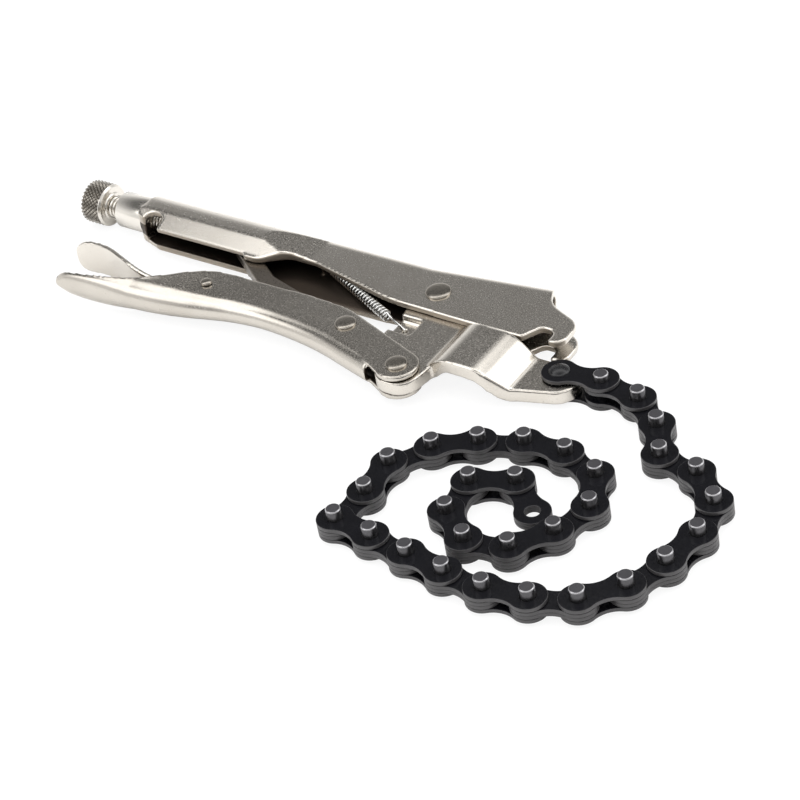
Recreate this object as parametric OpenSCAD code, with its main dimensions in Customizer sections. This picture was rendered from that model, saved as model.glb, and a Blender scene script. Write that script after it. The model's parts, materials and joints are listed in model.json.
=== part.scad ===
// Locking chain wrench, lying on its side with the chain laid out flat.
// X runs from the adjusting knob to the hooked nose and Z is up. The parts are drawn round the
// jaw rivet's axis, then placed so that the origin is on the floor under the chain's anchor rivet.
// Lengths are in millimetres.

/* [Chain] */
// Distance from one chain pin to the next
pitch = 15.875; // [14:0.125:18]
// Thickness of one chain plate
plate_t = 1.5; // [1.2:0.1:2]
// Height of a plate round its pin hole
plate_end_d = 12.8; // [11:0.1:13.2]
// Height of a plate at its waist
plate_waist = 8.6; // [6.5:0.1:10]
// Diameter of the chain pins
pin_d = 5.3; // [4.2:0.1:5.4]
// Height of the pins above the outer plates
pin_stand = 4; // [2.5:0.1:8]
// Gap between plates that turn on each other
side_play = 0.1; // [0.05:0.01:0.2]
// Diameter of the rivet that ties the chain to the jaw
anchor_d = 5.4; // [4.5:0.1:6.2]
// Diameter of that rivet's domed head
anchor_head_d = 7.6; // [6.8:0.1:9]

/* [Fixed handle] */
// Thickness of the handle's sheet steel
sheet_t = 2.4; // [1.8:0.1:3]
// Distance from the jaw rivet to the handle's back
handle_back = 14.6; // [14:0.1:16.5]
// How much further out the back is at the nose
nose_rise = 5.5; // [3:0.25:7]
// Width of the handle where the adjusting screw runs
grip_w = 15.2; // [14.6:0.1:16]
// Distance from the jaw rivet to the rear face of the handle
handle_rear = 141; // [136:0.5:146]
// Width of the notch that takes a chain pin
notch_w = 5.7; // [5:0.1:6.5]

/* [Adjusting screw] */
// Diameter of the thread
screw_d = 9.5; // [8:0.1:9.8]
// Advance of the screw in one turn
thread_pitch = 1.5875; // [1:0.0125:2]
// Distance of the screw's axis from the jaw rivet
screw_offset = 4.75; // [4:0.25:5.25]
// Diameter of the knob
knob_d = 17.2; // [15.6:0.1:18.5]
// Length of the knob
knob_len = 12; // [9:0.5:16]
// Diameter of the threaded collar
collar_d = 14.4; // [13.6:0.1:14.6]
// Length of the collar outside the handle
collar_len = 13.5; // [10:0.5:18]
// Free length of thread between collar and knob
neck_len = 5.5; // [4:0.5:9]

/* [Jaw] */
// Thickness of the forged jaw
jaw_t = 5.3; // [4.5:0.1:5.8]
// Height of the hump above the flat of the jaw
hump_h = 4.6; // [3:0.1:6]
// Distance from the jaw rivet to the chain's anchor rivet, along the handle
tongue_x = 61.75; // [60.5:0.25:65]
// Distance from the jaw rivet to the chain's anchor rivet, across the handle
tongue_y = -17.9; // [-19.5:0.1:-17.6]
// Diameter of the jaw rivet
jaw_rivet_d = 6; // [5:0.1:7.5]
// Diameter of the jaw rivet's heads
jaw_head_d = 9.6; // [8:0.1:11]

/* [Lever and toggle] */
// Thickness of the lever's sheet steel
lever_t = 2.2; // [1.8:0.1:2.4]
// Diameter of the rivets in the lever
lever_rivet_d = 5; // [4:0.1:6]
// Diameter of those rivets' heads
lever_head_d = 8; // [6.6:0.1:9]
// Width of the toggle link
toggle_w = 6.8; // [6:0.1:8]
// Thickness of the release lever's sheet steel
paddle_t = 1.8; // [1.4:0.1:2.2]
// Width of the release lever's thumb paddle
paddle_w = 14; // [11:0.5:15]
// Diameter of the release lever's pivot
release_pin_d = 3.2; // [2.4:0.1:4]

/* [Spring] */
// Outside diameter of the coil
spring_d = 4.6; // [4:0.1:4.8]
// Diameter of the spring wire
wire_d = 0.9; // [0.7:0.1:1]
// Number of turns in the coil
spring_turns = 22; // [16:1:24]
// Length of the coil
coil_len = 40; // [36:0.5:42]

/* [Clearances] */
// Radial clearance of a part that turns on a pin
pin_play = 0.06; // [0.03:0.01:0.1]
// Radial clearance of a pin in the plate that holds it
seat_play = 0.01; // [0.005:0.005:0.02]
// Side clearance of the jaw and toggle between the sheet-steel walls
wall_play = 0.1; // [0.05:0.05:0.3]
// Room left between the toggle link and the tip of the screw
tip_room = 2; // [2:0.25:4]

/* [Hidden] */
$fn = 64;
links = 31;

// Heights of the chain: its middle plane, and the middle plane of the tool on its knob
chain_z = 3 * plate_t + 2 * side_play;
mid_z = knob_d / 2;
pin_top = chain_z + 2 * plate_t + side_play + pin_stand;

// Bends of the chain as it lies, one for each link, in degrees from the link before
bends = [7, -15, -29, -20, 46, -30, -39, -20, -12, -20, -26, -14, -12, -4, 0, 1,
         -88, 9, -39, -21, -12, -20, -22, -46, -40, -21, -43, -46, -50, -70, -63];
function heading(k) = k == 0 ? 0 : heading(k - 1) + bends[k - 1];
function joint_at(k) = k == 0 ? [tongue_x, tongue_y] : joint_at(k - 1) + pitch * [cos(heading(k)), sin(heading(k))];

// Half widths of the walls, measured from the middle plane of the tool
gap_half = jaw_t / 2 + wall_play;
handle_half = gap_half + sheet_t;
lever_half = gap_half + lever_t;
toggle_t = jaw_t - 2 * wall_play;
rivet_head_h = 1.9;

// Pivots in the plane of the tool, each stepped off from the one before it
lever_step = [9.5, -41.5];
toggle_step = [-31, 12.6];
release_step = [-95, 12.2];
toggle_reach = [-69, 28.4];
knee_reach = [-46.5, 13.4];
lever_pivot = lever_step;
toggle_pivot = lever_pivot + toggle_step;
release_pivot = lever_pivot + release_step;
toggle_end = toggle_pivot + toggle_reach;
toggle_knee = toggle_pivot + knee_reach;
screw_tip = toggle_end[0] - toggle_w / 2 - tip_room;

// Stations along the screw
collar_rear = -handle_rear - collar_len;
knob_front = collar_rear - neck_len;
spigot_d = 6;
spigot_len = knob_len / 2;
collar_spigot_d = collar_d - 2.4;
collar_spigot_len = 4.5;
cavity_rear = -handle_rear + collar_spigot_len;

// Lay of the spring, from its hole in the jaw to its lug inside the handle's back
spring_hole = [-2.8, -19.2];
spring_slope = 155.5;
spring_lead = 12;
wire_hole_d = wire_d + 0.8;
lug_t = 1.6;
tab_t = jaw_t / 2;

BODY_NODES = ["fixed_handle", "threaded_collar", "adjusting_screw", "screw_knob", "jaw_rivet", "jaw_spring",
              "chain_jaw", "lever", "lever_rivet", "toggle_rivet", "release_rivet", "toggle_link",
              "release_lever", "anchor_rivet"];
LINK_NODES = [for (k = [1:links]) link_name(k)];
PIN_NODES = [for (k = [2:2:links - 1]) pins_name(k)];

function two_figures(k) = k < 10 ? str("0", k) : str(k);
function link_name(k) = str("link_", two_figures(k));
function pins_name(k) = str("pins_", two_figures(k));

// Helpers for outlines in a plane

function unit(v) = v / norm(v);
function turned(v, a) = [v[0] * cos(a) - v[1] * sin(a), v[0] * sin(a) + v[1] * cos(a)];
function flat(p) = [p[0], p[1]];
function angle_from(a, b) = atan2(cross(a, b), a * b);

// One corner of an outline, as an arc of radius r that is tangent to both its sides
function corner(before, at, after, r, steps) =
    let (u = unit(before - at),
         w = unit(after - at),
         half = acos(u * w) / 2,
         centre = at + unit(u + w) * r / sin(half),
         first = at + u * r / tan(half) - centre,
         last = at + w * r / tan(half) - centre)
    [for (i = [0:steps]) centre + turned(first, angle_from(first, last) * i / steps)];

// A closed outline from corners [x, y, radius]
function softened(pts, steps = 8) =
    let (m = len(pts))
    [for (i = [0:m - 1])
        each pts[i][2] == 0
            ? [flat(pts[i])]
            : corner(flat(pts[(i + m - 1) % m]), flat(pts[i]), flat(pts[(i + 1) % m]), pts[i][2], steps)];

// An open path from corners [x, y, radius], sharp at its two ends
function path_through(pts, steps = 8) =
    let (m = len(pts))
    [for (i = [0:m - 1])
        each i == 0 || i == m - 1
            ? [flat(pts[i])]
            : corner(flat(pts[i - 1]), flat(pts[i]), flat(pts[i + 1]), pts[i][2], steps)];

// A strip of thickness t along a path
function strip(path, t) =
    let (m = len(path),
         along = [for (i = [0:m - 1]) unit(path[min(i + 1, m - 1)] - path[max(i - 1, 0)])],
         side = [for (d = along) [-d[1], d[0]] * t / 2])
    concat([for (i = [0:m - 1]) path[i] + side[i]], [for (i = [m - 1:-1:0]) path[i] - side[i]]);

// A 2-D outline in X and Y made into a slab, centred on the tool's middle plane
module slab(half) {
    translate([0, 0, mid_z - half])
        linear_extrude(2 * half)
            children();
}

// The two side walls that lie between an inner and an outer half width
module walls(inner, outer) {
    for (z = [mid_z - outer, mid_z + inner])
        translate([0, 0, z])
            linear_extrude(outer - inner)
                children();
}

// A 2-D outline in Y and height made into a bar along X
module bar_along(x0, x1) {
    translate([x0, 0, mid_z])
        rotate([90, 0, 90])
            linear_extrude(x1 - x0)
                children();
}

// A 2-D outline in X and height, carried across the whole width of the tool
module across(reach) {
    translate([0, reach, mid_z])
        rotate([90, 0, 0])
            linear_extrude(2 * reach)
                children();
}

// A hole along Z through the whole tool
module drill(at, d) {
    translate([at[0], at[1], -1])
        cylinder(d = d, h = 2 * mid_z + 12);
}

// A low dome of diameter d and height h that stands on the plane z = 0
module dome(d, h) {
    ball = (d * d / 4 + h * h) / (2 * h);
    intersection() {
        translate([0, 0, h - ball])
            sphere(r = ball, $fn = 96);
        cylinder(d = d, h = h);
    }
}

// A rivet with a dome at both ends, which clamps walls of the given half width
module rivet(at, d, head_d, half, head_h) {
    translate([at[0], at[1], mid_z]) {
        translate([0, 0, -half])
            cylinder(d = d, h = 2 * half);
        translate([0, 0, half])
            dome(head_d, head_h);
        mirror([0, 0, 1])
            translate([0, 0, half])
                dome(head_d, head_h);
    }
}

// Chain

waist_r = (pitch * pitch / 4 + plate_waist * plate_waist / 4 - plate_end_d * plate_end_d / 4)
          / (plate_end_d - plate_waist);
waist_centre = [pitch / 2, plate_waist / 2 + waist_r];
waist_touch = unit(waist_centre) * plate_end_d / 2;

// One waisted plate with its two holes, along X from the first pin
module plate_outline(first_d, second_d) {
    difference() {
        union() {
            for (x = [0, pitch])
                translate([x, 0])
                    circle(d = plate_end_d);
            translate([waist_touch[0], -waist_touch[1]])
                square([pitch - 2 * waist_touch[0], 2 * waist_touch[1]]);
        }
        for (s = [-1, 1])
            translate([waist_centre[0], s * waist_centre[1]])
                circle(r = waist_r, $fn = 128);
        circle(d = first_d);
        translate([pitch, 0])
            circle(d = second_d);
    }
}

pin_hole_d = pin_d + 2 * pin_play;
pin_seat_d = pin_d + 2 * seat_play;
anchor_seat_d = anchor_d + 2 * seat_play;

// Lower face of each pair of plates, counted up from the chain's middle plane
function plate_level(k) = k == 1 ? 2 * plate_t + 2 * side_play : k % 2 == 0 ? plate_t + side_play : 0;
function first_hole(k) = k == 1 ? anchor_seat_d : k % 2 == 0 ? pin_seat_d : pin_hole_d;
function second_hole(k) = k % 2 == 0 ? pin_seat_d : pin_hole_d;

// A link is two like plates, one above and one below the chain's middle plane
module link(k) {
    color("#26262a")
        translate([joint_at(k - 1)[0], joint_at(k - 1)[1], chain_z])
            rotate([0, 0, heading(k)])
                for (s = [0, 1])
                    mirror([0, 0, s])
                        translate([0, 0, plate_level(k)])
                            linear_extrude(plate_t)
                                plate_outline(first_hole(k), second_hole(k));
}

pin_rim = 0.5;
pin_foot = 0.3;

// The two pins that an even link carries, which stand up on one side only
module pins(k) {
    color("#7d7f82")
        for (j = [k - 1, k])
            translate([joint_at(j)[0], joint_at(j)[1], 0])
                rotate_extrude()
                    polygon([[0, 0], [pin_d / 2 - pin_foot, 0], [pin_d / 2, pin_foot],
                             [pin_d / 2, pin_top - pin_rim], [pin_d / 2 - pin_rim, pin_top], [0, pin_top]]);
}

anchor_head_h = 1.4;

// The rivet in the first link, flush below and domed above
module anchor_rivet() {
    color("#26262a")
        translate([tongue_x, tongue_y, 0]) {
            cylinder(d = anchor_d, h = 2 * chain_z);
            translate([0, 0, 2 * chain_z])
                dome(anchor_head_d, anchor_head_h);
        }
}

// Fixed handle

back_mid = handle_back - handle_half;
nose_x = 58.5;
nose_top_x = 37;
bend_x = -10;
nose_tilt = atan(nose_rise / (nose_top_x - bend_x));
knee_lap = 4;
channel_depth = 30;
round_lap = 0.02;
step_rear = -84;
step_front = -58;
step_lap = 2;
grip_half = grip_w / 2;
grip_wall = sheet_t - 0.2;
grip_reach = handle_back - 0.7 - screw_offset;
grip_turn = 17;
grip_bend_r = 6;
grip_bend_y = 1.6;
lip_run = 7.8;
lip_y = -8.7;
notch_x = 49.4;
notch_top = -3.6;
hook_y = -9.8;
slot_rear = 15;

// Lower edge of the two walls between nose and slot: the upper wall is arched over the toggle link
// Both end at the slot's rear, where the upper wall is relieved by an arch
near_edge = [[-15, -10.4, 60], [-54, -1.8, 16], [-67, -1.6, 9], [-77.5, lip_y, 9],
             [-127.6, lip_y, 1], [-128.4, -0.6, 3.1], [-135.4, -0.6, 3.1], [-136.2, -4.4, 1]];
far_edge = [[-15, -12.4, 60], [-52, -12.4, 30], [-80, lip_y, 30], [-handle_rear + slot_rear, lip_y, 30]];

// Side view of a wall: back, nose with its pin notch, lower edge, slot lip and rear end
module wall_outline(lower_edge) {
    polygon(softened(concat([
        [-handle_rear, screw_offset + collar_d / 2 + 0.3, 2],
        [-handle_rear + 6, handle_back + 1, 5],
        [bend_x, handle_back + 1, 60],
        [nose_top_x, handle_back + nose_rise + 1, 0.8],
        [nose_top_x + 4.8, 10, 12],
        [nose_x - 1, 3.4, 7],
        [nose_x, hook_y, 4.5],
        [notch_x + notch_w / 2, hook_y, 0.8],
        [notch_x + notch_w / 2, notch_top, notch_w / 2 - 0.05],
        [notch_x - notch_w / 2, notch_top, notch_w / 2 - 0.05],
        [notch_x - notch_w / 2 - 4, -11, 1],
        [20, -11.3, 60]],
        lower_edge,
        [[-handle_rear, screw_offset - collar_d / 2 - 0.3, 2]])));
}

// The two outlines, one above the other, as a block that the handle is cut from
module handle_block(half) {
    translate([0, 0, mid_z])
        linear_extrude(half)
            wall_outline(near_edge);
    translate([0, 0, mid_z - half])
        linear_extrude(half)
            wall_outline(far_edge);
}

// Cross-section with a round back of radius r, and sides that run from it to a half width at a depth
back_steps = 24;
side_steps = 8;
module backed_section(r, depth, half) {
    span = atan2(half, -depth) - acos(r / norm([depth, half]));
    polygon(concat([for (i = [0:back_steps]) r * [cos(span * (2 * i / back_steps - 1)),
                                                  sin(span * (2 * i / back_steps - 1))]],
                   [[-depth, half], [-depth, -half]]));
}

// The front channel as a solid of the given half width, straight and then tilted up to the nose.
// Its backs are a hair wider than its flat walls, so that each wall is one plane.
module front_channel(half, x0) {
    wide = half + round_lap;
    intersection() {
        slab(half)
            translate([x0, -channel_depth])
                square([nose_x + knee_lap - x0, 2 * channel_depth]);
        union() {
            bar_along(x0, bend_x + knee_lap)
                translate([back_mid, 0])
                    backed_section(wide, channel_depth, wide);
            translate([bend_x, back_mid, 0])
                rotate([0, 0, nose_tilt])
                    bar_along(-knee_lap, nose_x + knee_lap - bend_x)
                        backed_section(wide, channel_depth, wide);
        }
    }
}

// Cross-section of the grip: an oval back round the screw, and a flat facet on each side down to the slot's lip
function grip_oval(inset) = [for (i = [0:back_steps])
    let (a = 90 * (2 * i / back_steps - 1))
    [screw_offset + (grip_reach - inset) * cos(a), (grip_half - inset) * sin(a)]];
function grip_bend(inset, a) =
    [grip_bend_y - (grip_bend_r - inset) * sin(a), grip_half - grip_bend_r + (grip_bend_r - inset) * cos(a)];
function grip_lip(inset, run) = grip_bend(inset, grip_turn) - run * [cos(grip_turn), sin(grip_turn)];
function grip_sides(inset, run) =
    concat([for (i = [0:side_steps]) grip_bend(inset, grip_turn * i / side_steps)], [grip_lip(inset, run)]);
function flipped(pts) = [for (i = [len(pts) - 1:-1:0]) [pts[i][0], -pts[i][1]]];

module grip_skin() {
    side = grip_sides(0, lip_run + 0.5);
    polygon(concat(grip_oval(0), side, flipped(side)));
}

// The hollow of the grip, which opens between lips that are cut square to the sheet
module grip_hollow() {
    side = grip_sides(grip_wall, lip_run);
    inner = grip_lip(grip_wall, lip_run);
    past = inner + 1.6 * (grip_lip(0, lip_run) - inner);
    mouth = concat(side, [past, [-channel_depth, past[1]]]);
    polygon(concat(grip_oval(grip_wall), mouth, flipped(mouth)));
}

// The grip is drawn down to the collar behind, and to the front channel's width before it
module grip_solid() {
    wide = grip_half + 0.3;
    intersection() {
        bar_along(-handle_rear, step_front + step_lap)
            grip_skin();
        across(40)
            polygon([[-handle_rear, -collar_d / 2 - 0.2], [-handle_rear + 5, -wide],
                     [step_rear, -wide], [step_front, -handle_half], [step_front + step_lap, -gap_half - 1],
                     [step_front + step_lap, gap_half + 1], [step_front, handle_half], [step_rear, wide],
                     [-handle_rear + 5, wide], [-handle_rear, collar_d / 2 + 0.2]]);
    }
}

// The lug that the spring's rear end passes through, square to the spring
module spring_lug() {
    intersection() {
        slab(gap_half)
            translate(spring_point(spring_lead + coil_len + 3))
                rotate(spring_slope)
                    translate([0, -16])
                        square([lug_t, 19]);
        front_channel(gap_half + sheet_t / 2, step_rear);
        slab(gap_half + sheet_t / 2)
            wall_outline(near_edge);
    }
}

module fixed_handle() {
    color("#b9b6b0")
        difference() {
            union() {
                difference() {
                    intersection() {
                        union() {
                            front_channel(handle_half, step_rear);
                            grip_solid();
                        }
                        handle_block(mid_z);
                    }
                    front_channel(gap_half, step_rear - 1);
                    bar_along(cavity_rear, step_rear)
                        grip_hollow();
                }
                spring_lug();
            }
            drill([0, 0], jaw_rivet_d + 2 * seat_play);
            translate([-handle_rear - 1, screw_offset, mid_z])
                rotate([0, 90, 0])
                    cylinder(d = collar_spigot_d + 2 * pin_play, h = collar_spigot_len + 2);
            translate([spring_end()[0], spring_end()[1], mid_z])
                rotate([0, 90, spring_slope])
                    cylinder(d = wire_hole_d, h = 8, center = true);
        }
}

module jaw_rivet() {
    color("#a5a29c")
        rivet([0, 0], jaw_rivet_d, jaw_head_d, handle_half, rivet_head_h);
}

// Adjusting screw

screw_bore_d = screw_d + 2 * pin_play;

module threaded_collar() {
    color("#c4c1bb")
        translate([collar_rear, screw_offset, mid_z])
            rotate([0, 90, 0])
                difference() {
                    union() {
                        cylinder(d = collar_d, h = collar_len);
                        cylinder(d = collar_spigot_d, h = collar_len + collar_spigot_len);
                    }
                    translate([0, 0, -1])
                        cylinder(d = screw_bore_d, h = collar_len + collar_spigot_len + 2);
                }
}

thread_depth = 0.55 * thread_pitch;
thread_turns = floor((screw_tip - knob_front - 1) / thread_pitch);
screw_len = screw_tip - knob_front;

// Shank with its thread shown as ridges, and a plain spigot that the knob turns with
module adjusting_screw() {
    color("#b4b1ab")
        translate([knob_front, screw_offset, mid_z])
            rotate([0, 90, 0]) {
                rotate_extrude()
                    polygon(concat(
                        [[0, 0], [screw_d / 2 - thread_depth, 0]],
                        [for (i = [0:thread_turns - 1])
                            each [[screw_d / 2 - thread_depth, (i + 0.25) * thread_pitch],
                                  [screw_d / 2, (i + 0.6) * thread_pitch],
                                  [screw_d / 2, (i + 0.8) * thread_pitch],
                                  [screw_d / 2 - thread_depth, (i + 1.15) * thread_pitch]]],
                        [[screw_d / 2 - thread_depth, screw_len], [0, screw_len]]));
                translate([0, 0, -spigot_len])
                    cylinder(d = spigot_d, h = spigot_len + 1);
            }
}

knob_neck_d = screw_d + 0.6;
knob_round = 3;
knob_taper = 1.6;

module screw_knob() {
    color("#a9a6a0")
        translate([knob_front - knob_len, screw_offset, mid_z])
            rotate([0, 90, 0])
                difference() {
                    rotate_extrude()
                        polygon(softened([
                            [0, 0, 0],
                            [knob_d / 2, 0, knob_round],
                            [knob_d / 2, knob_len - knob_taper, 0.6],
                            [knob_neck_d / 2, knob_len, 0],
                            [0, knob_len, 0]]));
                    translate([0, 0, knob_len - spigot_len - pin_play])
                        cylinder(d = spigot_d + 2 * pin_play, h = spigot_len + 1);
                }
}

// Jaw

bend_line = 19.5;
crest_x = [24.6, 39.5];
crease_x = 48.5;
tongue_r = 8.2;
jaw_far = -12.2;
jaw_near = -36;
boss_r = 8.2;
flat_front = bend_line + 0.5;

// The flat of the jaw, from the boss in the handle to the boss in the lever, with the spring's tab
module jaw_flat() {
    slab(jaw_t / 2)
        polygon(softened([
            [-9.5, 9.5, 9.3],
            [9.5, 9.5, 9.3],
            [flat_front, -2, 4],
            [flat_front, jaw_near, 3],
            [lever_pivot[0] + boss_r, lever_pivot[1] - boss_r, boss_r - 0.2],
            [lever_pivot[0] - boss_r, lever_pivot[1] - boss_r, boss_r - 0.2],
            [lever_pivot[0] - boss_r, lever_pivot[1] + 3.5, 5],
            [-7.5, -26, 3],
            [-7.5, -12, 4],
            [-9.5, -6, 4]]));
}

// The hump and the tongue are one strip that rises over the handle's edge and drops to the chain
module jaw_tongue() {
    drop = chain_z - mid_z;
    intersection() {
        across(60)
            polygon(strip(path_through([
                [bend_line - 6, 0, 0],
                [bend_line, 0, 4],
                [crest_x[0], hump_h, 7],
                [crest_x[1], hump_h - 0.3, 9],
                [crease_x, drop, 5],
                [tongue_x + 12, drop, 0]]), jaw_t));
        slab(mid_z)
            polygon(softened([
                [bend_line - 6, jaw_far, 0],
                [tongue_x - 7.5, jaw_far, 6],
                [tongue_x + tongue_r, tongue_y + tongue_r, tongue_r - 0.2],
                [tongue_x + tongue_r, tongue_y - tongue_r, tongue_r - 0.2],
                [tongue_x - 9.5, tongue_y - 13.3, 12],
                [crest_x[1] + 2, jaw_near, 12],
                [bend_line - 6, jaw_near, 0]]));
    }
}

module chain_jaw() {
    color("#c0bdb7")
        difference() {
            union() {
                jaw_flat();
                jaw_tongue();
            }
            drill([0, 0], jaw_rivet_d + 2 * pin_play);
            drill(lever_pivot, lever_rivet_d + 2 * pin_play);
            drill([tongue_x, tongue_y], anchor_d + 2 * pin_play);
            drill(spring_hole, wire_hole_d);
            translate([-12, spring_hole[1] - 4, mid_z - jaw_t / 2 + tab_t])
                cube([14, 9, jaw_t]);
        }
}

// Spring

function spring_point(s) = spring_hole + s * [cos(spring_slope), sin(spring_slope)];
coil_r = (spring_d - wire_d) / 2;
curl_rings = 8;
wire_sides = 6;
lead_z = tab_t - jaw_t / 2 + wire_d / 2 + 0.3;
function spring_end() = spring_point(spring_lead + coil_len + 3);

// A point given along the spring, across it and up, in the frame of the tool
function spring_frame(s, c, z) =
    let (p = spring_point(s) + c * [-sin(spring_slope), cos(spring_slope)]) [p[0], p[1], mid_z + z];

// The wire: down in the jaw's hole, along to the coil, round its turns, and straight into the lug
coil_steps = spring_turns * curl_rings;
wire_run = concat(
    [spring_frame(0, 0, -tab_t * 0.7),
     spring_frame(0, 0, -tab_t * 0.7 + wire_d),
     spring_frame(0.15, 0, lead_z - 0.5),
     spring_frame(0.7, 0, lead_z),
     spring_frame(spring_lead - 3, 0, lead_z),
     spring_frame(spring_lead - 1, 0, coil_r * 0.8)],
    [for (i = [0:coil_steps])
        spring_frame(spring_lead + coil_len * i / coil_steps,
                     coil_r * sin(360 * i / curl_rings), coil_r * cos(360 * i / curl_rings))],
    [spring_frame(spring_lead + coil_len + 0.9, 0, coil_r * 0.7),
     spring_frame(spring_lead + coil_len + 1.8, 0, 0),
     spring_frame(spring_lead + coil_len + 3, 0, 0),
     spring_frame(spring_lead + coil_len + 3 + lug_t, 0, 0)]);

// Directions along the wire, and a side of each that turns as little as it can
function along(path) =
    let (m = len(path)) [for (i = [0:m - 1]) unit(path[min(i + 1, m - 1)] - path[max(i - 1, 0)])];
function carried(side, d) = unit(side - (side * d) * d);
function sides_along(dirs, i = 0, side = [0.3, 0.2, 1], done = []) =
    i == len(dirs) ? done
        : let (s = carried(i == 0 ? cross(dirs[0], [0.9, 0.4, 0.1]) : side, dirs[i]))
          sides_along(dirs, i + 1, s, concat(done, [s]));

// A closed tube round a path, as triangles
module tube(path, d, n) {
    dirs = along(path);
    sides = sides_along(dirs);
    m = len(path);
    points = [for (i = [0:m - 1])
        let (u = sides[i], w = cross(dirs[i], u))
        for (j = [0:n - 1]) path[i] + d / 2 * (cos(360 * j / n) * u + sin(360 * j / n) * w)];
    skin = [for (i = [0:m - 2])
        for (j = [0:n - 1])
            let (a = i * n + j, b = i * n + (j + 1) % n)
            each [[a, a + n, b], [b, a + n, b + n]]];
    ends = [for (j = [1:n - 2])
        each [[0, j, j + 1], [(m - 1) * n, (m - 1) * n + j + 1, (m - 1) * n + j]]];
    polyhedron(concat(points, [path[0], path[m - 1]]), concat(skin, ends), convexity = 10);
}

// Least gap of the coil to itself, measured between points that are half a turn or more apart
coil_points = [for (i = [0:coil_steps])
    [coil_len * i / coil_steps, coil_r * sin(360 * i / curl_rings), coil_r * cos(360 * i / curl_rings)]];
self_gap = min([for (i = [0:curl_rings])
    for (j = [i + curl_rings / 2:i + 2 * curl_rings]) norm(coil_points[i] - coil_points[j]) - wire_d]);
echo(spring_self_gap = self_gap);

module jaw_spring() {
    color("#d8d8d8")
        tube(wire_run, wire_d, wire_sides);
}

// Lever, toggle link and release lever

// Stations of the lever's trough, from the lever pivot: along, top edge, outer face, added half width
lever_lay = [[-11, 11.5, -5.7, 0], [-15.5, 13.5, -4.5, 0], [-24.5, 17, -2, 0],
             [-34.5, 20.5, 0.8, 0], [-43.5, 21.5, 2.6, 0],
             [-54.5, 22, 4, 0], [-67.5, 21.8, 4.6, 0], [-79.5, 21.5, 3.5, 0.2], [-89.5, 21, 1.5, 0.5],
             [-97.5, 19.5, -0.3, 1], [-105.5, 15, -1.7, 1.6], [-113.5, 9, -2.8, 2], [-121.5, 4, -3.5, 2.2],
             [-131.5, 0.6, -4.2, 2.1], [-141.5, -1.4, -4.6, 1.6], [-151.5, -2.2, -4.8, 0.6],
             [-155.5, -2.3, -4.8, -0.8], [-158, -2.4, -4.8, -2.8]];
trough_steps = 12;

// Half of the ring at a station: down one wall, round the back, and up the other wall
function trough_arc(row, wall) =
    let (w = lever_half + row[3],
         depth = row[1] - row[2],
         round = min(w, depth),
         half = max(w - wall, 0.35 * w),
         deep = wall == 0 ? round : max(round - wall, 0.1 * round),
         x = lever_pivot[0] + row[0],
         top = lever_pivot[1] + row[1],
         centre = lever_pivot[1] + row[2] + round)
    concat([[x, top, mid_z + half]],
           [for (i = [0:trough_steps])
               [x, centre - deep * sin(180 * i / trough_steps), mid_z + half * cos(180 * i / trough_steps)]],
           [[x, top, mid_z - half]]);

// The trough skinned over its stations, outer skin first
module trough() {
    n = trough_steps + 3;
    m = len(lever_lay);
    points = concat([for (row = lever_lay) each trough_arc(row, 0)],
                    [for (row = lever_lay) each trough_arc(row, lever_t)]);
    inner = m * n;
    outer_skin = [for (i = [0:m - 2])
        for (j = [0:n - 2])
            let (a = i * n + j)
            each [[a, a + 1, a + n], [a + 1, a + n + 1, a + n]]];
    inner_skin = [for (i = [0:m - 2])
        for (j = [0:n - 2])
            let (a = inner + i * n + j)
            each [[a, a + n, a + 1], [a + 1, a + n, a + n + 1]]];
    edges = [for (i = [0:m - 2])
        for (j = [0, n - 1])
            let (a = i * n + j, b = inner + a)
            each j == 0 ? [[a, a + n, b], [a + n, b + n, b]] : [[a, b, a + n], [a + n, b, b + n]]];
    front = [for (j = [0:n - 2]) each [[j, inner + j, j + 1], [j + 1, inner + j, inner + j + 1]]];
    last = (m - 1) * n;
    tail = [for (j = [0:n - 2])
        let (a = last + j, b = inner + last + j)
        each [[a, a + 1, b], [a + 1, b + 1, b]]];
    polyhedron(points, concat(outer_skin, inner_skin, edges, front, tail), convexity = 10);
}

ear_r = 8;

module lever() {
    color("#c2bfb9")
        difference() {
            union() {
                trough();
                walls(gap_half, lever_half)
                    translate(lever_pivot) {
                        circle(r = ear_r);
                        polygon([[-38, 6.4], [-15.5, -1], [-5, -6.2], [0, 0], [3, 7.4], [-31.5, 19.6], [-38, 21]]);
                    }
            }
            drill(lever_pivot, lever_rivet_d + 2 * seat_play);
            drill(toggle_pivot, lever_rivet_d + 2 * seat_play);
            drill(release_pivot, release_pin_d + 2 * seat_play);
        }
}

module lever_rivet() {
    color("#a5a29c")
        rivet(lever_pivot, lever_rivet_d, lever_head_d, lever_half, rivet_head_h);
}

module toggle_rivet() {
    color("#a5a29c")
        rivet(toggle_pivot, lever_rivet_d, lever_head_d, lever_half, rivet_head_h);
}

release_half = lever_half + 0.95;
release_head_h = 1.5;

module release_rivet() {
    color("#a5a29c")
        rivet(release_pivot, release_pin_d, release_pin_d + 1.2, release_half, release_head_h);
}

toggle_eye = 6;
knee_round = 10;
toggle_root = toggle_pivot + unit(toggle_knee - toggle_pivot) * 0.62 * toggle_eye;

// Sides of the toggle link's two straight lengths, and of the bend between them
function left_of(a, b) = [a[1] - b[1], b[0] - a[0]] / norm(b - a) * toggle_w / 2;
front_side = left_of(toggle_pivot, toggle_knee);
rear_side = left_of(toggle_knee, toggle_end);
knee_side = unit(front_side + rear_side) * toggle_w / 2 / cos(angle_from(front_side, rear_side) / 2);
rear_reach = toggle_end + unit(toggle_end - toggle_knee) * toggle_w / 2;
function rounded_at(p, r) = [p[0], p[1], r];

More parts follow.
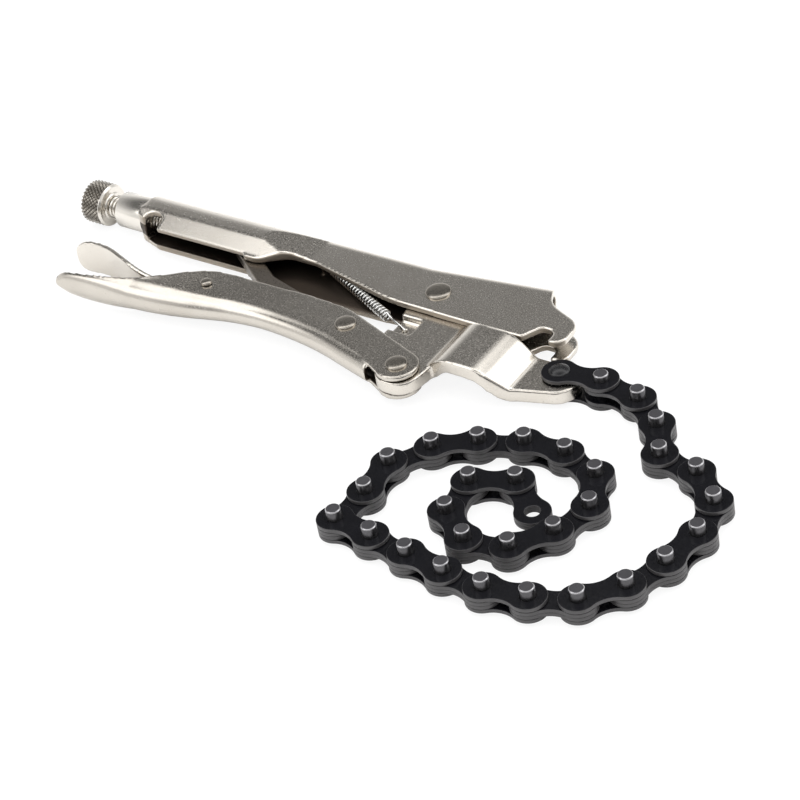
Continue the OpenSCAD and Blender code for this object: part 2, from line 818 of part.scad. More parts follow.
module toggle_link() {
    color("#8f8d89")
        slab(toggle_t / 2)
            difference() {
                union() {
                    translate(toggle_pivot)
                        circle(r = toggle_eye);
                    polygon(softened([
                        rounded_at(toggle_root - front_side, 0),
                        rounded_at(toggle_knee - knee_side, knee_round),
                        rounded_at(rear_reach - rear_side, toggle_w / 2 - 0.05),
                        rounded_at(rear_reach + rear_side, toggle_w / 2 - 0.05),
                        rounded_at(toggle_knee + knee_side, knee_round),
                        rounded_at(toggle_root + front_side, 0)]));
                }
                translate(toggle_pivot)
                    circle(d = lever_rivet_d + 2 * pin_play);
            }
}

release_bar_half = toggle_t / 2 - 0.1;
release_boss = 4.4;
paddle_tip = -66.5;

// Thumb paddle and shank of bent sheet, with the pivot boss and the nose that pries off the toggle
module release_lever() {
    color("#c6c3bd")
        difference() {
            union() {
                intersection() {
                    slab(mid_z)
                        translate(release_pivot)
                            polygon(strip(path_through([
                                [paddle_tip, 1, 0],
                                [-54, 4, 26],
                                [-33, -3.4, 40],
                                [-14, -4, 14],
                                [-2, 0, 0]]), paddle_t));
                    across(60)
                        translate([release_pivot[0], 0])
                            polygon(softened([
                                [paddle_tip, -paddle_w / 2, paddle_w / 2 - 1],
                                [-38, -paddle_w / 2, 20],
                                [-13, -release_bar_half, 20],
                                [2, -release_bar_half, 0],
                                [2, release_bar_half, 0],
                                [-13, release_bar_half, 20],
                                [-38, paddle_w / 2, 20],
                                [paddle_tip, paddle_w / 2, paddle_w / 2 - 1]]));
                }
                slab(release_bar_half)
                    translate(release_pivot) {
                        circle(r = release_boss);
                        polygon(softened([[-3, -3.5, 0], [26, -0.5, 1.6], [27, 3.6, 1.6], [18, 3.4, 4], [-2, 4, 0]]));
                    }
            }
            drill(release_pivot, release_pin_d + 2 * pin_play);
        }
}

// Puts the anchor rivet's axis on the origin
module placed() {
    translate([-tongue_x, -tongue_y, 0])
        children();
}

placed() fixed_handle();
placed() threaded_collar();
placed() adjusting_screw();
placed() screw_knob();
placed() jaw_rivet();
placed() jaw_spring();
placed() chain_jaw();
placed() lever();
placed() lever_rivet();
placed() toggle_rivet();
placed() release_rivet();
placed() toggle_link();
placed() release_lever();
placed() anchor_rivet();
for (k = [1:links]) placed() link(k);
for (k = [2:2:links - 1]) placed() pins(k);
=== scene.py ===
import json
import math

import bmesh
import bpy
from mathutils import Matrix, Vector


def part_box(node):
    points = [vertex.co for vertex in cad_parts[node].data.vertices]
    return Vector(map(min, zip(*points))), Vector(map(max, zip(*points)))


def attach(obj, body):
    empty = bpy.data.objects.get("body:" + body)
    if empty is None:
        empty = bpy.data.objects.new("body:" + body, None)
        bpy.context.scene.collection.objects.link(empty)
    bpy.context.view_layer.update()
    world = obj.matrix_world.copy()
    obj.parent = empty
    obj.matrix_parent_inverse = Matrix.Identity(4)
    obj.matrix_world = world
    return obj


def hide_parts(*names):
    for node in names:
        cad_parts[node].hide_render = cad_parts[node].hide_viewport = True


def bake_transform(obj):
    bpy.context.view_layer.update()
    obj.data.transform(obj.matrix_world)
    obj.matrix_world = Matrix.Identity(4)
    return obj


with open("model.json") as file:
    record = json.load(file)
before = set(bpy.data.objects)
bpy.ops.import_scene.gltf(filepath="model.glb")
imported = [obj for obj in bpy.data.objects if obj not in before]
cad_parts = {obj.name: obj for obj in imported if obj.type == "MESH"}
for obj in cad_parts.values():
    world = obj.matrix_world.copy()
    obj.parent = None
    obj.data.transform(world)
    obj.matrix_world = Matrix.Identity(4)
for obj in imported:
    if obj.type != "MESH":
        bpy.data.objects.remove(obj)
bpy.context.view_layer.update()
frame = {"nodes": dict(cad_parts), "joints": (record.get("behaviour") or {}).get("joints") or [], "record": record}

MM = 0.001

# Fixed handle.
# One piece of sheet steel, folded round a half-round back into a channel, then drawn into a
# bottle neck at its rear. It is nickel-plated all over after folding and tumbled to a satin skin.

CLOUD_SIZE, PIT_DEPTH = 14, 0.05     # in millimetres
# The second colour here is painted shade for the inside of a fold; the fade and gap below set where that painted
# shade lies.
SHEARED, PAINTED_FOLD_SHADE = "#a79e92", "#4a423b"
FOLD_FADE = 15                       # millimetres over which the inside of a fold turns dark
FOLD_GAP = (2.7, 2.5)                # half the room inside a fold, in millimetres, from clear to dark


def linear(code):
    """An sRGB hex colour as linear RGBA."""
    parts = [int(code[i:i + 2], 16) / 255 for i in (1, 3, 5)]
    return [c / 12.92 if c <= 0.04045 else ((c + 0.055) / 1.055) ** 2.4 for c in parts] + [1.0]


def add_node(tree, kind, inputs=None, **settings):
    """Adds a node with its settings, and links or sets its inputs."""
    node = tree.nodes.new(kind)
    for name, value in settings.items():
        setattr(node, name, value)
    for key, value in (inputs or {}).items():
        if isinstance(value, bpy.types.NodeSocket):
            tree.links.new(value, node.inputs[key])
        else:
            node.inputs[key].default_value = value
    return node


def maths(tree, operation, *values):
    """The result of a sum on sockets or numbers."""
    return add_node(tree, "ShaderNodeMath", dict(enumerate(values)), operation=operation).outputs[0]


def plated_steel(name, light, dark, smooth, rough, grain, depth, sheared=None, fold=None):
    """Nickel-plated steel: a warm grey mirror, blurred by fine pits, with faint cloudy patches.

    Its roughness lies between smooth and rough, grain is the pits' size in millimetres, and depth the
    strength of their relief. Faces towards the sheared direction are duller, as cut sheet and the
    inside of a bend are. With a fold given, as its front end, the height of its middle plane and the
    way its back faces along Y, the faces inside it are painted dark, as painted shade."""
    material = bpy.data.materials.new(name)
    material.use_nodes = True
    tree = material.node_tree
    shader = tree.nodes["Principled BSDF"]
    shader.inputs["Metallic"].default_value = 1.0
    place = add_node(tree, "ShaderNodeTexCoord").outputs["Object"]
    clouds = add_node(tree, "ShaderNodeTexNoise", {
        "Vector": place, "Scale": 1 / (CLOUD_SIZE * MM), "Detail": 3.0})
    pits = add_node(tree, "ShaderNodeTexNoise", {
        "Vector": place, "Scale": 1 / (grain * MM), "Detail": 2.0})
    tint = add_node(tree, "ShaderNodeMix", {"Factor": clouds.outputs["Fac"]}, data_type="RGBA")
    tint.inputs["A"].default_value = linear(dark)
    tint.inputs["B"].default_value = linear(light)
    colour = tint.outputs["Result"]
    blur = add_node(tree, "ShaderNodeMapRange", {
        "Value": pits.outputs["Fac"], "From Min": 0.3, "From Max": 0.7,
        "To Min": smooth, "To Max": rough}).outputs["Result"]
    facing = add_node(tree, "ShaderNodeTexCoord").outputs["Normal"]
    masks = []                       # what each goes by, where it starts and is full, its colour and roughness
    if sheared:
        towards = add_node(tree, "ShaderNodeVectorMath", {0: facing, 1: sheared}, operation="DOT_PRODUCT")
        masks.append((towards.outputs["Value"], 0.55, 0.75, SHEARED, 0.5))
    # Painted shade: faces inside a fold that turn towards its middle plane are mixed towards the dark fold colour.
    if fold:
        front, middle, way = fold
        spot = add_node(tree, "ShaderNodeSeparateXYZ", {0: place}).outputs
        above = maths(tree, "SUBTRACT", spot["Z"], middle)
        side = maths(tree, "SIGN", above)
        behind = add_node(tree, "ShaderNodeMapRange", {
            "Value": spot["X"], "From Min": front, "From Max": front - FOLD_FADE * MM,
            "To Max": -1.0}).outputs["Result"]
        tilt = add_node(tree, "ShaderNodeSeparateXYZ", {0: facing}).outputs
        inward = maths(tree, "MULTIPLY", side, tilt["Z"])
        apart = maths(tree, "ABSOLUTE", above)
        between = add_node(tree, "ShaderNodeMapRange", {
            "Value": apart, "From Min": FOLD_GAP[0] * MM, "From Max": FOLD_GAP[1] * MM}).outputs["Result"]
        backward = maths(tree, "MULTIPLY", tilt["Y"], way)
        hidden = add_node(tree, "ShaderNodeMapRange", {
            "Value": backward, "From Min": 0.7, "From Max": 0.5, "To Max": -1.0}).outputs["Result"]
        amid = maths(tree, "MULTIPLY", between, hidden)
        deepest = maths(tree, "MINIMUM", inward, amid)
        inside = maths(tree, "MULTIPLY", deepest, behind)
        masks.append((inside, 0.5, 0.8, PAINTED_FOLD_SHADE, 0.45))
    for value, start, full, shade, dull in masks:
        share = add_node(tree, "ShaderNodeMapRange", {
            "Value": value, "From Min": start, "From Max": full}).outputs["Result"]
        mixed = add_node(tree, "ShaderNodeMix", {"Factor": share}, data_type="RGBA")
        tree.links.new(colour, mixed.inputs["A"])
        mixed.inputs["B"].default_value = linear(shade)
        colour = mixed.outputs["Result"]
        blur = add_node(tree, "ShaderNodeMix", {"Factor": share, "A": blur, "B": dull}).outputs["Result"]
    tree.links.new(colour, shader.inputs["Base Color"])
    tree.links.new(blur, shader.inputs["Roughness"])
    bump = add_node(tree, "ShaderNodeBump", {
        "Height": pits.outputs["Fac"], "Strength": depth, "Distance": PIT_DEPTH * MM})
    tree.links.new(bump.outputs["Normal"], shader.inputs["Normal"])
    return material


def piece(name, mesh, material, body, slot, *nodes):
    """A finished mesh as an object that rides on a body and stands for its CAD nodes."""
    if material:
        mesh.materials.clear()
        mesh.materials.append(material)
    obj = bpy.data.objects.new(name, mesh)
    bpy.context.scene.collection.objects.link(obj)
    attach(obj, body)
    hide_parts(*nodes)
    return obj


def evaluated(obj):
    """The mesh that an object's modifiers give, as plain data."""
    bpy.context.view_layer.update()
    return bpy.data.meshes.new_from_object(obj.evaluated_get(bpy.context.evaluated_depsgraph_get()))


def softened(mesh, voxel, rounds):
    """A closed mesh with its edges worn round, as plating and tumbling leave them.

    It is meshed anew at this voxel size, in millimetres, and smoothed this many rounds."""
    shell = bmesh.new()
    shell.from_mesh(mesh)
    bmesh.ops.remove_doubles(shell, verts=shell.verts, dist=0.001 * MM)
    copy = bpy.data.meshes.new("blank")
    shell.to_mesh(copy)
    shell.free()
    blank = bpy.data.objects.new("blank", copy)
    bpy.context.scene.collection.objects.link(blank)
    remesh = blank.modifiers.new("skin", "REMESH")
    remesh.mode = "VOXEL"
    remesh.voxel_size = voxel * MM
    remesh.use_smooth_shade = True
    wear = blank.modifiers.new("wear", "SMOOTH")
    wear.factor = 0.5
    wear.iterations = rounds
    result = evaluated(blank)
    bpy.data.objects.remove(blank)
    return result


axis_of = {j["name"]: Vector(j["pos_m"]) for j in frame["joints"] if j.get("pos_m")}
JAW_PIVOT = axis_of["jaw_pivot"]
# The painted shade inside the handle's fold starts this far ahead of the jaw's pivot.
DARK_FROM = 25 * MM                  # the fold's inside is dark from this far ahead of the jaw's pivot

# A soft warm mirror with a fine grain, beige along the sheared lips, and nearly black in the channel as painted
# shade.
folded_nickel = plated_steel("satin nickel plate on folded sheet", "#d8d3cb", "#c7c1b8",
                             0.18, 0.28, 0.55, 0.18, sheared=(0.45, -0.89, 0.0),
                             fold=(JAW_PIVOT.x + DARK_FROM, JAW_PIVOT.z, 1))
piece("folded_handle", softened(frame["nodes"]["fixed_handle"].data, 0.5, 4), folded_nickel,
      "handle", "satin_nickel", "fixed_handle")

# Threaded collar.
# A turned steel sleeve, pressed into the handle's neck and plated with it. Its bore is tapped
# for the adjusting screw, and its two ends are lightly chamfered.

SCREW_AXIS = Vector((0, axis_of["knob_turn"].y, axis_of["knob_turn"].z))
COLLAR = [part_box("threaded_collar")[i].x / MM for i in (0, 1)]
COLLAR_RADIUS, NECK_RADIUS, BORE = 7.2, 6.0, 4.83
NECK_LENGTH = 4.5


def skin_rings(form, rings):
    """Faces from each ring of points to the next, turned outwards."""
    for a, b in zip(rings, rings[1:]):
        for i in range(len(a)):
            j = (i + 1) % len(a)
            form.faces.new((a[i], a[j], b[j], b[i]))
    bmesh.ops.recalc_face_normals(form, faces=form.faces)


def turned(profile, steps=96):
    """A turned piece about the screw's axis, from points [along X, radius] in millimetres."""
    lathe = bmesh.new()
    rings = []
    for x, r in profile:
        ring = []
        for i in range(steps):
            a = 2 * math.pi * i / steps
            ring.append(lathe.verts.new((x * MM, SCREW_AXIS.y + r * MM * math.cos(a),
                                         SCREW_AXIS.z + r * MM * math.sin(a))))
        rings.append(ring)
    skin_rings(lathe, rings)
    mesh = bpy.data.meshes.new("turned")
    lathe.to_mesh(mesh)
    lathe.free()
    mesh.polygons.foreach_set("use_smooth", [True] * len(mesh.polygons))
    mesh.set_sharp_from_angle(angle=math.radians(35))
    return mesh


rear, front = COLLAR
shoulder = front - NECK_LENGTH
collar_profile = [(rear, BORE), (rear, COLLAR_RADIUS - 0.7), (rear + 0.2, COLLAR_RADIUS - 0.25),
                  (rear + 0.6, COLLAR_RADIUS), (shoulder, COLLAR_RADIUS), (shoulder, NECK_RADIUS),
                  (front, NECK_RADIUS), (front, BORE), (rear, BORE)]
# Brighter and smoother than the sheet, so that the turned sleeve shows clear bands of light and dark.
turned_nickel = plated_steel("turned nickel plate", "#dcd8d1", "#cdc8c0", 0.16, 0.24, 0.45, 0.15)
piece("neck_collar", turned(collar_profile), turned_nickel, "handle", "satin_nickel", "threaded_collar")

# Adjusting screw.
# A steel rod with a rolled 3/8 inch thread, sixteen to the inch. It runs in the collar and its
# tip backs up the toggle link. The thread is one helical ridge wound on the core.

SCREW = [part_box("adjusting_screw")[i].x / MM for i in (0, 1)]
THREAD_PITCH = 1.5875
THREAD_RADIUS = 4.75
SPIGOT_LENGTH = 6.0


def node_group(name, sockets):
    """An empty geometry tree with a geometry output and the named inputs."""
    tree = bpy.data.node_groups.new(name, "GeometryNodeTree")
    ids = {}
    for label, kind in sockets:
        ids[label] = tree.interface.new_socket(label, in_out="INPUT", socket_type=kind).identifier
    tree.interface.new_socket("Geometry", in_out="OUTPUT", socket_type="NodeSocketGeometry")
    return tree, ids, add_node(tree, "NodeGroupInput").outputs


def end_group(tree, geometry, finish):
    """Ends a geometry tree: plain geometry, all in one finish."""
    plain = add_node(tree, "GeometryNodeRealizeInstances", {"Geometry": geometry.outputs["Geometry"]})
    coated = add_node(tree, "GeometryNodeSetMaterial", {
        "Geometry": plain.outputs["Geometry"], "Material": finish})
    add_node(tree, "NodeGroupOutput", {"Geometry": coated.outputs["Geometry"]})


def grown(tree, ids, values, base=None):
    """The plain mesh that a geometry tree makes with these inputs."""
    host = bpy.data.objects.new("grown", base or bpy.data.meshes.new("grown"))
    bpy.context.scene.collection.objects.link(host)
    modifier = host.modifiers.new("rule", "NODES")
    modifier.node_group = tree
    for label, value in values.items():
        modifier[ids[label]] = value
    mesh = evaluated(host)
    bpy.data.objects.remove(host)
    return mesh


thread, thread_ids, given = node_group("rolled_thread", [
    ("Turns", "NodeSocketFloat"), ("Length", "NodeSocketFloat"), ("Pitch Radius", "NodeSocketFloat"),
    ("Ridge", "NodeSocketFloat"), ("Core Radius", "NodeSocketFloat"), ("Centre", "NodeSocketVector"),
    ("Finish", "NodeSocketMaterial")])
helix = add_node(thread, "GeometryNodeCurveSpiral", {
    "Resolution": 32, "Rotations": given["Turns"], "Start Radius": given["Pitch Radius"],
    "End Radius": given["Pitch Radius"], "Height": given["Length"]})
ridge = add_node(thread, "GeometryNodeCurvePrimitiveCircle", {"Resolution": 4, "Radius": given["Ridge"]})
wound = add_node(thread, "GeometryNodeCurveToMesh", {
    "Curve": helix.outputs["Curve"], "Profile Curve": ridge.outputs["Curve"], "Fill Caps": True})
core = add_node(thread, "GeometryNodeMeshCylinder", {
    "Vertices": 64, "Radius": given["Core Radius"], "Depth": given["Length"]})
half_up = maths(thread, "MULTIPLY", given["Length"], 0.5)
lift = add_node(thread, "ShaderNodeCombineXYZ", {"Z": half_up})
core_up = add_node(thread, "GeometryNodeTransform", {
    "Geometry": core.outputs["Mesh"], "Translation": lift.outputs[0]})
both = add_node(thread, "GeometryNodeJoinGeometry", {"Geometry": wound.outputs["Mesh"]})
thread.links.new(core_up.outputs["Geometry"], both.inputs["Geometry"])
laid = add_node(thread, "GeometryNodeTransform", {
    "Geometry": both.outputs["Geometry"], "Translation": given["Centre"], "Rotation": (0.0, math.pi / 2, 0.0)})
end_group(thread, laid, given["Finish"])

thread_start = SCREW[0] + SPIGOT_LENGTH
thread_length = SCREW[1] - thread_start
ridge_size = 0.5 * THREAD_PITCH
thread_mesh = grown(thread, thread_ids, {
    "Turns": (thread_length - 2 * ridge_size) / THREAD_PITCH, "Length": (thread_length - ridge_size) * MM,
    "Pitch Radius": (THREAD_RADIUS - ridge_size) * MM, "Ridge": ridge_size * MM,
    "Core Radius": (THREAD_RADIUS - 0.6 * THREAD_PITCH) * MM,
    "Centre": Vector((thread_start + ridge_size / 2, 0, 0)) * MM + SCREW_AXIS, "Finish": turned_nickel})
piece("adjusting_rod", thread_mesh, None, "screw", "nickel_screw", "adjusting_screw")

# Knob.
# A turned drum on the end of the screw, with a diamond knurl rolled into its rim. Its front is
# bevelled down to a smooth neck.

KNOB = [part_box("screw_knob")[i].x / MM for i in (0, 1)]
KNOB_RADIUS = 8.6
KNURL_ROWS = 5
KNURL_ROUND = 32
KNURL_DEPTH = 0.55
KNURL_MARGINS = (1.1, 2.6)           # plain metal behind and before the knurl
TOOTH_FILL, TOOTH_TIP = 0.98, 0.18   # share of its cell that a tooth covers, and of its foot that its tip does
TOOTH_SUNK = 0.1

rear, front = KNOB
knurl_start, knurl_end = rear + KNURL_MARGINS[0], front - KNURL_MARGINS[1]
tooth_size = (knurl_end - knurl_start) / (KNURL_ROWS - 0.5)
drum = KNOB_RADIUS - KNURL_DEPTH
knob_profile = [(rear, 0.01), (rear, 5.2), (rear + 0.2, 6.2), (rear + 0.7, 7.1), (rear + 1.4, 7.7),
                (rear + 2.2, drum), (knurl_end + 0.1, drum), (knurl_end + 0.5, KNOB_RADIUS - 0.15),
                (knurl_end + 0.8, KNOB_RADIUS - 0.15), (knurl_end + 1.5, KNOB_RADIUS - 0.9),
                (knurl_end + 1.55, 6.9), (knurl_end + 1.9, 6.2), (knurl_end + 2.0, 5.7),
                (knurl_end + 2.4, 5.4), (front, 5.05), (front, 0.01)]

knurl, knurl_ids, given = node_group("diamond_knurl", [
    ("Rows", "NodeSocketInt"), ("Round", "NodeSocketInt"), ("Radius", "NodeSocketFloat"),
    ("Row Step", "NodeSocketFloat"), ("Tooth", "NodeSocketVector"), ("Start", "NodeSocketVector"),
    ("Finish", "NodeSocketMaterial")])
count = maths(knurl, "MULTIPLY", given["Rows"], given["Round"])
seeds = add_node(knurl, "GeometryNodeMeshLine", {"Count": count, "Offset": (0.0, 0.0, 0.0)})
index = add_node(knurl, "GeometryNodeInputIndex").outputs["Index"]
row = maths(knurl, "DIVIDE", index, given["Round"])
row = maths(knurl, "FLOOR", row)
stagger = maths(knurl, "MULTIPLY_ADD", row, 0.5, index)
share = maths(knurl, "DIVIDE", stagger, given["Round"])
angle = maths(knurl, "MULTIPLY", share, 2 * math.pi)
cosine = maths(knurl, "COSINE", angle)
sine = maths(knurl, "SINE", angle)
side = maths(knurl, "MULTIPLY", cosine, given["Radius"])
rise = maths(knurl, "MULTIPLY", sine, given["Radius"])
run = maths(knurl, "MULTIPLY", row, given["Row Step"])
spot = add_node(knurl, "ShaderNodeCombineXYZ", {
    "X": run, "Y": side, "Z": rise})
placed = add_node(knurl, "GeometryNodeSetPosition", {
    "Geometry": seeds.outputs["Mesh"], "Position": spot.outputs[0]})
tooth = add_node(knurl, "GeometryNodeMeshCone", {
    "Vertices": 4, "Radius Top": TOOTH_TIP, "Radius Bottom": 1.0, "Depth": 1.0})
sized = add_node(knurl, "GeometryNodeTransform", {"Geometry": tooth.outputs["Mesh"], "Scale": given["Tooth"]})
turn = add_node(knurl, "ShaderNodeCombineXYZ", {"X": angle})
stand = add_node(knurl, "FunctionNodeRotateEuler", {
    "Rotation": (-math.pi / 2, 0.0, 0.0), "Rotate By": turn.outputs[0]})
teeth = add_node(knurl, "GeometryNodeInstanceOnPoints", {
    "Points": placed.outputs["Geometry"], "Instance": sized.outputs["Geometry"],
    "Rotation": stand.outputs["Rotation"]})
shifted = add_node(knurl, "GeometryNodeTransform", {
    "Geometry": teeth.outputs["Instances"], "Translation": given["Start"]})
end_group(knurl, shifted, given["Finish"])

round_step = 2 * math.pi * drum / KNURL_ROUND
# The teeth are a duller nickel, and the drum between them is painted dark as painted shade in the grooves, so that
# the diamonds stand out.
rolled_nickel = plated_steel("knurled nickel plate", "#a19c94", "#827d76", 0.2, 0.3, 0.6, 0.1)
groove_nickel = plated_steel("knurl grooves in painted shade", "#4a4641", "#35322e", 0.4, 0.5, 0.6, 0.1)
teeth_mesh = grown(knurl, knurl_ids, {
    "Rows": 2 * KNURL_ROWS - 1, "Round": KNURL_ROUND, "Radius": (drum - TOOTH_SUNK) * MM,
    "Row Step": tooth_size / 2 * MM,
    "Tooth": Vector((tooth_size / 2 * TOOTH_FILL, round_step / 2 * TOOTH_FILL, KNURL_DEPTH + TOOTH_SUNK)) * MM,
    "Start": Vector((knurl_start + tooth_size / 4, 0, 0)) * MM + SCREW_AXIS, "Finish": rolled_nickel})
piece("knob_knurl", teeth_mesh, None, "knob", "nickel_screw")
drum_mesh = turned(knob_profile)
piece("knob_drum", drum_mesh, turned_nickel, "knob", "nickel_screw", "screw_knob")
# The drum under the knurl takes the grooves' painted shade.
drum_mesh.materials.append(groove_nickel)
for face in drum_mesh.polygons:
    if knurl_start * MM < face.center.x < knurl_end * MM:
        face.material_index = 1

# Jaw.
# A drop forging that is pinned between the handle's walls. It humps over the handle's edge and
# ends in a flat tongue for the chain. Its edges are rounder than the sheet's.

# Like the sheet's plate but a little deeper in tone, and dull where the crank's inside faces the rear.
forged_nickel = plated_steel("nickel plate on a forging", "#d4cfc7", "#c2bcb3", 0.18, 0.28, 0.55, 0.14,
                             sheared=(-1.0, 0.0, 0.0))
piece("forged_jaw", softened(frame["nodes"]["chain_jaw"].data, 0.45, 9), forged_nickel,
      "jaw", "satin_nickel", "chain_jaw")

# Rivets.
# Four solid steel rivets. Each passes through both walls of its sheet and is upset to a low
# dome at both ends, then plated with the tool.

FLATNESS = 0.3                       # power of the dome's height: 1 is a ball, 0 a plain disc
# CAD node, body, shaft radius, height of the head's seat above the middle plane, height of the head
RIVETS = [("jaw_rivet", "handle", 3.0, 5.15, 1.1), ("lever_rivet", "lever", 2.5, 4.95, 1.1),
          ("toggle_rivet", "lever", 2.5, 4.95, 1.1), ("release_rivet", "lever", 1.6, 5.8, 1.2)]

rivet_rule, rivet_ids, given = node_group("upset_rivet", [
    ("Shaft Radius", "NodeSocketFloat"), ("Head Radius", "NodeSocketFloat"), ("Head Height", "NodeSocketFloat"),
    ("Half Grip", "NodeSocketFloat"), ("Centre", "NodeSocketVector"), ("Finish", "NodeSocketMaterial")])
ball = add_node(rivet_rule, "GeometryNodeMeshUVSphere", {"Segments": 48, "Rings": 32, "Radius": 1.0})
where = add_node(rivet_rule, "GeometryNodeInputPosition").outputs[0]
height = add_node(rivet_rule, "ShaderNodeSeparateXYZ", {0: where})
below = add_node(rivet_rule, "FunctionNodeCompare", {0: height.outputs["Z"], 1: -0.01}, operation="LESS_THAN")
cap = add_node(rivet_rule, "GeometryNodeDeleteGeometry", {
    "Geometry": ball.outputs["Mesh"], "Selection": below.outputs["Result"]})
flattened = maths(rivet_rule, "POWER", height.outputs["Z"], FLATNESS)
low_dome = add_node(rivet_rule, "ShaderNodeCombineXYZ", {
    "X": height.outputs["X"], "Y": height.outputs["Y"], "Z": flattened})
pressed = add_node(rivet_rule, "GeometryNodeSetPosition", {
    "Geometry": cap.outputs["Geometry"], "Position": low_dome.outputs[0]})
size = add_node(rivet_rule, "ShaderNodeCombineXYZ", {
    "X": given["Head Radius"], "Y": given["Head Radius"], "Z": given["Head Height"]})
seat = add_node(rivet_rule, "ShaderNodeCombineXYZ", {"Z": given["Half Grip"]})
head = add_node(rivet_rule, "GeometryNodeTransform", {
    "Geometry": pressed.outputs["Geometry"], "Scale": size.outputs[0], "Translation": seat.outputs[0]})
foot = add_node(rivet_rule, "GeometryNodeTransform", {
    "Geometry": head.outputs["Geometry"], "Rotation": (math.pi, 0.0, 0.0)})
grip = maths(rivet_rule, "MULTIPLY", given["Half Grip"], 2.0)
shaft = add_node(rivet_rule, "GeometryNodeMeshCylinder", {
    "Vertices": 32, "Radius": given["Shaft Radius"], "Depth": grip})
whole = add_node(rivet_rule, "GeometryNodeJoinGeometry", {"Geometry": head.outputs["Geometry"]})
rivet_rule.links.new(foot.outputs["Geometry"], whole.inputs["Geometry"])
rivet_rule.links.new(shaft.outputs["Mesh"], whole.inputs["Geometry"])
seated = add_node(rivet_rule, "GeometryNodeTransform", {
    "Geometry": whole.outputs["Geometry"], "Translation": given["Centre"]})
smooth = add_node(rivet_rule, "GeometryNodeSetShadeSmooth", {"Geometry": seated.outputs["Geometry"]})
end_group(rivet_rule, smooth, given["Finish"])

# A darker, steel-grey plate, so that the heads stand out from the sheet.
rivet_nickel = plated_steel("nickel plate on rivet heads", "#aaa49b", "#938d84", 0.18, 0.26, 0.55, 0.2)
for node, body, shaft_radius, seat_height, head_height in RIVETS:
    low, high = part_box(node)
    mesh = grown(rivet_rule, rivet_ids, {
        "Shaft Radius": shaft_radius * MM, "Head Radius": (high.x - low.x) / 2, "Head Height": head_height * MM,
        "Half Grip": seat_height * MM, "Centre": (low + high) / 2, "Finish": rivet_nickel})
    piece(node + "_heads", mesh, None, body, "rivet_steel", node)

# Jaw spring.
# A long close-wound spring of bright drawn wire. One end is hooked down through the jaw's tab
# and the other goes straight into a lug inside the handle's back.

HOOK = JAW_PIVOT / MM + Vector((-2.8, -19.2, 0))
SLOPE = math.radians(155.5)
LEAD, COIL, TURNS = 12.0, 40.0, 22
CURL_STEPS = 20                      # points to a turn
COIL_RADIUS, WIRE_RADIUS = 1.85, 0.45
LEAD_HEIGHT = 0.75
TAIL, LUG = 3.0, 1.6                 # wire from the coil to the lug, and inside the lug


def on_spring(along, across, up):
    """A point along, across and above the spring's axis, in millimetres."""
    x = HOOK.x + along * math.cos(SLOPE) - across * math.sin(SLOPE)
    y = HOOK.y + along * math.sin(SLOPE) + across * math.cos(SLOPE)
    return Vector((x, y, HOOK.z + up)) * MM


run_in = [(0, 0, -1.8), (0, 0, -0.9), (0.05, 0, 0.0), (0.25, 0, 0.5), (0.7, 0, LEAD_HEIGHT),
          (LEAD - 4, 0, LEAD_HEIGHT), (LEAD - 2.4, 0, 0.85), (LEAD - 1.2, 0, 1.3), (LEAD - 0.5, 0, 1.7)]
curls = [(LEAD + COIL * i / (CURL_STEPS * TURNS), COIL_RADIUS * math.sin(2 * math.pi * i / CURL_STEPS),
          COIL_RADIUS * math.cos(2 * math.pi * i / CURL_STEPS)) for i in range(CURL_STEPS * TURNS + 1)]
run_out = [(LEAD + COIL + 0.5, 0, 1.6), (LEAD + COIL + 1.2, 0, 0.8), (LEAD + COIL + 2, 0, 0.1),
           (LEAD + COIL + TAIL, 0, 0), (LEAD + COIL + TAIL + LUG, 0, 0)]
route = bpy.data.curves.new("route", "CURVE")
route.dimensions = "3D"
line = route.splines.new("POLY")
stations = [on_spring(*p) for p in run_in + curls + run_out]
line.points.add(len(stations) - 1)
for point, place in zip(line.points, stations):
    point.co = (*place, 1.0)

wire, wire_ids, given = node_group("drawn_wire", [
    ("Path", "NodeSocketGeometry"), ("Radius", "NodeSocketFloat"), ("Finish", "NodeSocketMaterial")])
gauge = add_node(wire, "GeometryNodeCurvePrimitiveCircle", {"Resolution": 10, "Radius": given["Radius"]})
drawn = add_node(wire, "GeometryNodeCurveToMesh", {
    "Curve": given["Path"], "Profile Curve": gauge.outputs["Curve"], "Fill Caps": True})
smooth = add_node(wire, "GeometryNodeSetShadeSmooth", {"Geometry": drawn.outputs["Mesh"]})
end_group(wire, smooth, given["Finish"])

# The brightest metal here: a cool, nearly white glint on every turn.
bright_wire = plated_steel("bright drawn wire", "#e6e6e4", "#d4d4d2", 0.12, 0.2, 0.4, 0.1)
spring_mesh = grown(wire, wire_ids, {"Radius": WIRE_RADIUS * MM, "Finish": bright_wire}, route)
spring = bpy.data.objects.new("jaw_spring_wire", spring_mesh)
bpy.context.scene.collection.objects.link(spring)
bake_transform(spring)
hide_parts("jaw_spring")

# Lever.
# Sheet steel pressed into a deep trough, with two ears that straddle the jaw. Towards the rear
# the trough opens out and flattens to a blade for the hand.

LEVER_PIVOT = axis_of["lever_pivot"] / MM
EAR_RADIUS = 8.0
WALL, FRONT_HALF, EAR_INNER = 2.2, 4.95, 2.75
LEAST_WIDE, LEAST_DEEP = 0.35, 0.1   # the least share of the outside that the inside keeps as it flattens
DRAFT = 0.06                         # share by which the trough, behind its ears, narrows from rims to bend
DRAFT_FROM, DRAFT_RUN = -36, 24
# The darkness inside the trough is painted shade, fading in behind this point.
DARK_AHEAD = 20                      # the trough's inside is dark from this far ahead of the lever's pivot
